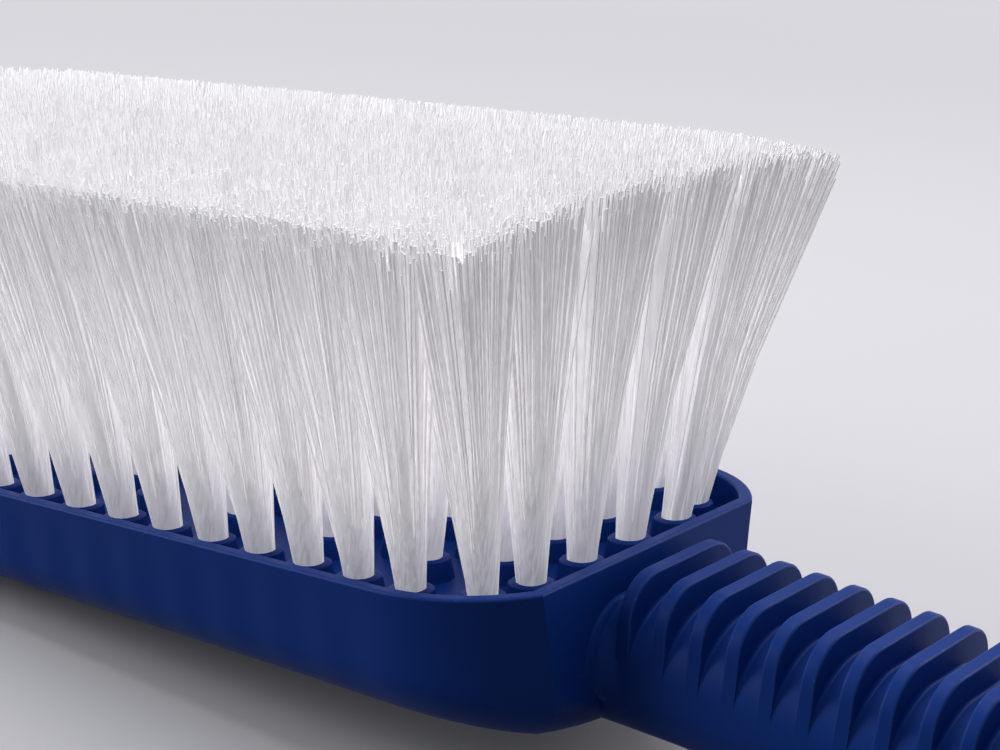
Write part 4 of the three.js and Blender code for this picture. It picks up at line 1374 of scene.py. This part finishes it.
class FLOWBRUSH_OT_stage(bpy.types.Operator):
    """Makes the pale table, the soft lamps, the surroundings and the camera"""
    bl_idname = "flow_brush.stage"
    bl_label = "Stage"

    def execute(self, context):
        scene = context.scene
        self.make_floor(scene)
        for name, place, aim, size, power in LAMPS:
            light = bpy.data.lights.new(name, "AREA")
            light.size = size
            light.energy = power
            lamp = bpy.data.objects.new(name, light)
            lamp.location = place
            lamp.rotation_mode = "QUATERNION"
            lamp.rotation_quaternion = (Vector(aim) - Vector(place)).to_track_quat("-Z", "Y")
            scene.collection.objects.link(lamp)
        self.make_world(scene)
        self.make_camera(scene)
        scene.view_settings.view_transform = "Standard"
        return {"FINISHED"}

    def make_floor(self, scene):
        """A broad pale table top, which throws back less light than it shows and fades far off."""
        bm = bmesh.new()
        bmesh.ops.create_grid(bm, x_segments=2, y_segments=2, size=TABLE_HALF)
        floor = object_from(bm, "table_top", STILL)
        finish = Finish("pale_table", Specular_IOR_Level=0.1, Emission_Strength=1.0)
        pale = scene.flow_colours.floor
        cloud = finish.noise(9, 2)
        shown = finish.mixed(cloud, darker(pale, 0.97), pale)
        seen = finish.seen()
        away = finish.node(
            "ShaderNodeVectorMath", {"operation": "LENGTH"}, {0: finish.place()}, output="Value")
        far = seen * finish.stops(away, (FADE_START, 0), (FADE_END, 1))
        near = finish.mixed(seen, darker(pale, THROWN_BACK), shown)
        glow = finish.mixed(far, BLACK, scene.flow_colours.backdrop)
        floor.data.materials.append(finish.feed(
            Base_Color=finish.mixed(far, near, BLACK), Emission_Color=glow, Roughness=0.6 + 0.1 * cloud))

    def make_world(self, scene):
        """Weak light from all round, and a pale backdrop to look at."""
        round_about = Surroundings("pale_surroundings")
        colours = scene.flow_colours
        scene.world = round_about.feed(
            Color=round_about.mixed(round_about.seen(), colours.surroundings, colours.backdrop))

    def make_camera(self, scene):
        """The camera at the photograph's place."""
        data = bpy.data.cameras.new("camera")
        data.sensor_width = SENSOR
        data.lens = FOCAL_PIXELS / IMAGE_WIDTH * SENSOR
        data.clip_start = CLIP_START
        camera = bpy.data.objects.new("camera", data)
        turn = Matrix.Rotation(CAMERA_TURN, 4, "Z") @ Matrix.Rotation(QUARTER - CAMERA_FALL, 4, "X")
        roll = Matrix.Rotation(CAMERA_ROLL, 4, "Z")
        camera.matrix_world = head_matrix() @ Matrix.Translation(CAMERA_PLACE) @ turn @ roll
        scene.collection.objects.link(camera)
        scene.camera = camera


class FLOWBRUSH_PT_panel(bpy.types.Panel):
    """Lists the brush's pieces and the sizes that shape them"""
    bl_idname = "FLOWBRUSH_PT_panel"
    bl_label = "Water flow brush"
    bl_space_type = "VIEW_3D"
    bl_region_type = "UI"
    bl_category = "Flow Brush"

    def draw(self, context):
        for operator in OPERATORS:
            self.layout.operator(operator.bl_idname)
        for name, group in GROUPS.items():
            box = self.layout.box()
            box.label(text=group.__doc__)
            for setting in group.__annotations__:
                box.prop(getattr(context.scene, name), setting)


GROUPS = {
    "flow_head": HeadSizes,
    "flow_tufts": TuftSizes,
    "flow_handle": HandleSizes,
    "flow_tap": TapSizes,
    "flow_coupling": CouplingSizes,
    "flow_colours": FinishColours,
}
OPERATORS = (
    FLOWBRUSH_OT_body,
    FLOWBRUSH_OT_tuft_plate,
    FLOWBRUSH_OT_bristles,
    FLOWBRUSH_OT_tap,
    FLOWBRUSH_OT_coupling,
    FLOWBRUSH_OT_inner_parts,
    FLOWBRUSH_OT_stage,
)


def register():
    for cls in (*GROUPS.values(), *OPERATORS, FLOWBRUSH_PT_panel):
        bpy.utils.register_class(cls)
    for name, group in GROUPS.items():
        setattr(bpy.types.Scene, name, bpy.props.PointerProperty(type=group))


def unregister():
    for name in GROUPS:
        delattr(bpy.types.Scene, name)
    for cls in (FLOWBRUSH_PT_panel, *reversed(OPERATORS), *GROUPS.values()):
        bpy.utils.unregister_class(cls)


def main():
    """Registers the add-on, then makes the stage and every piece."""
    register()
    bpy.ops.flow_brush.stage()
    bpy.ops.flow_brush.body()
    bpy.ops.flow_brush.tuft_plate()
    bpy.ops.flow_brush.bristles()
    bpy.ops.flow_brush.tap()
    bpy.ops.flow_brush.coupling()
    bpy.ops.flow_brush.inner_parts()


if __name__ == "__main__":
    main()
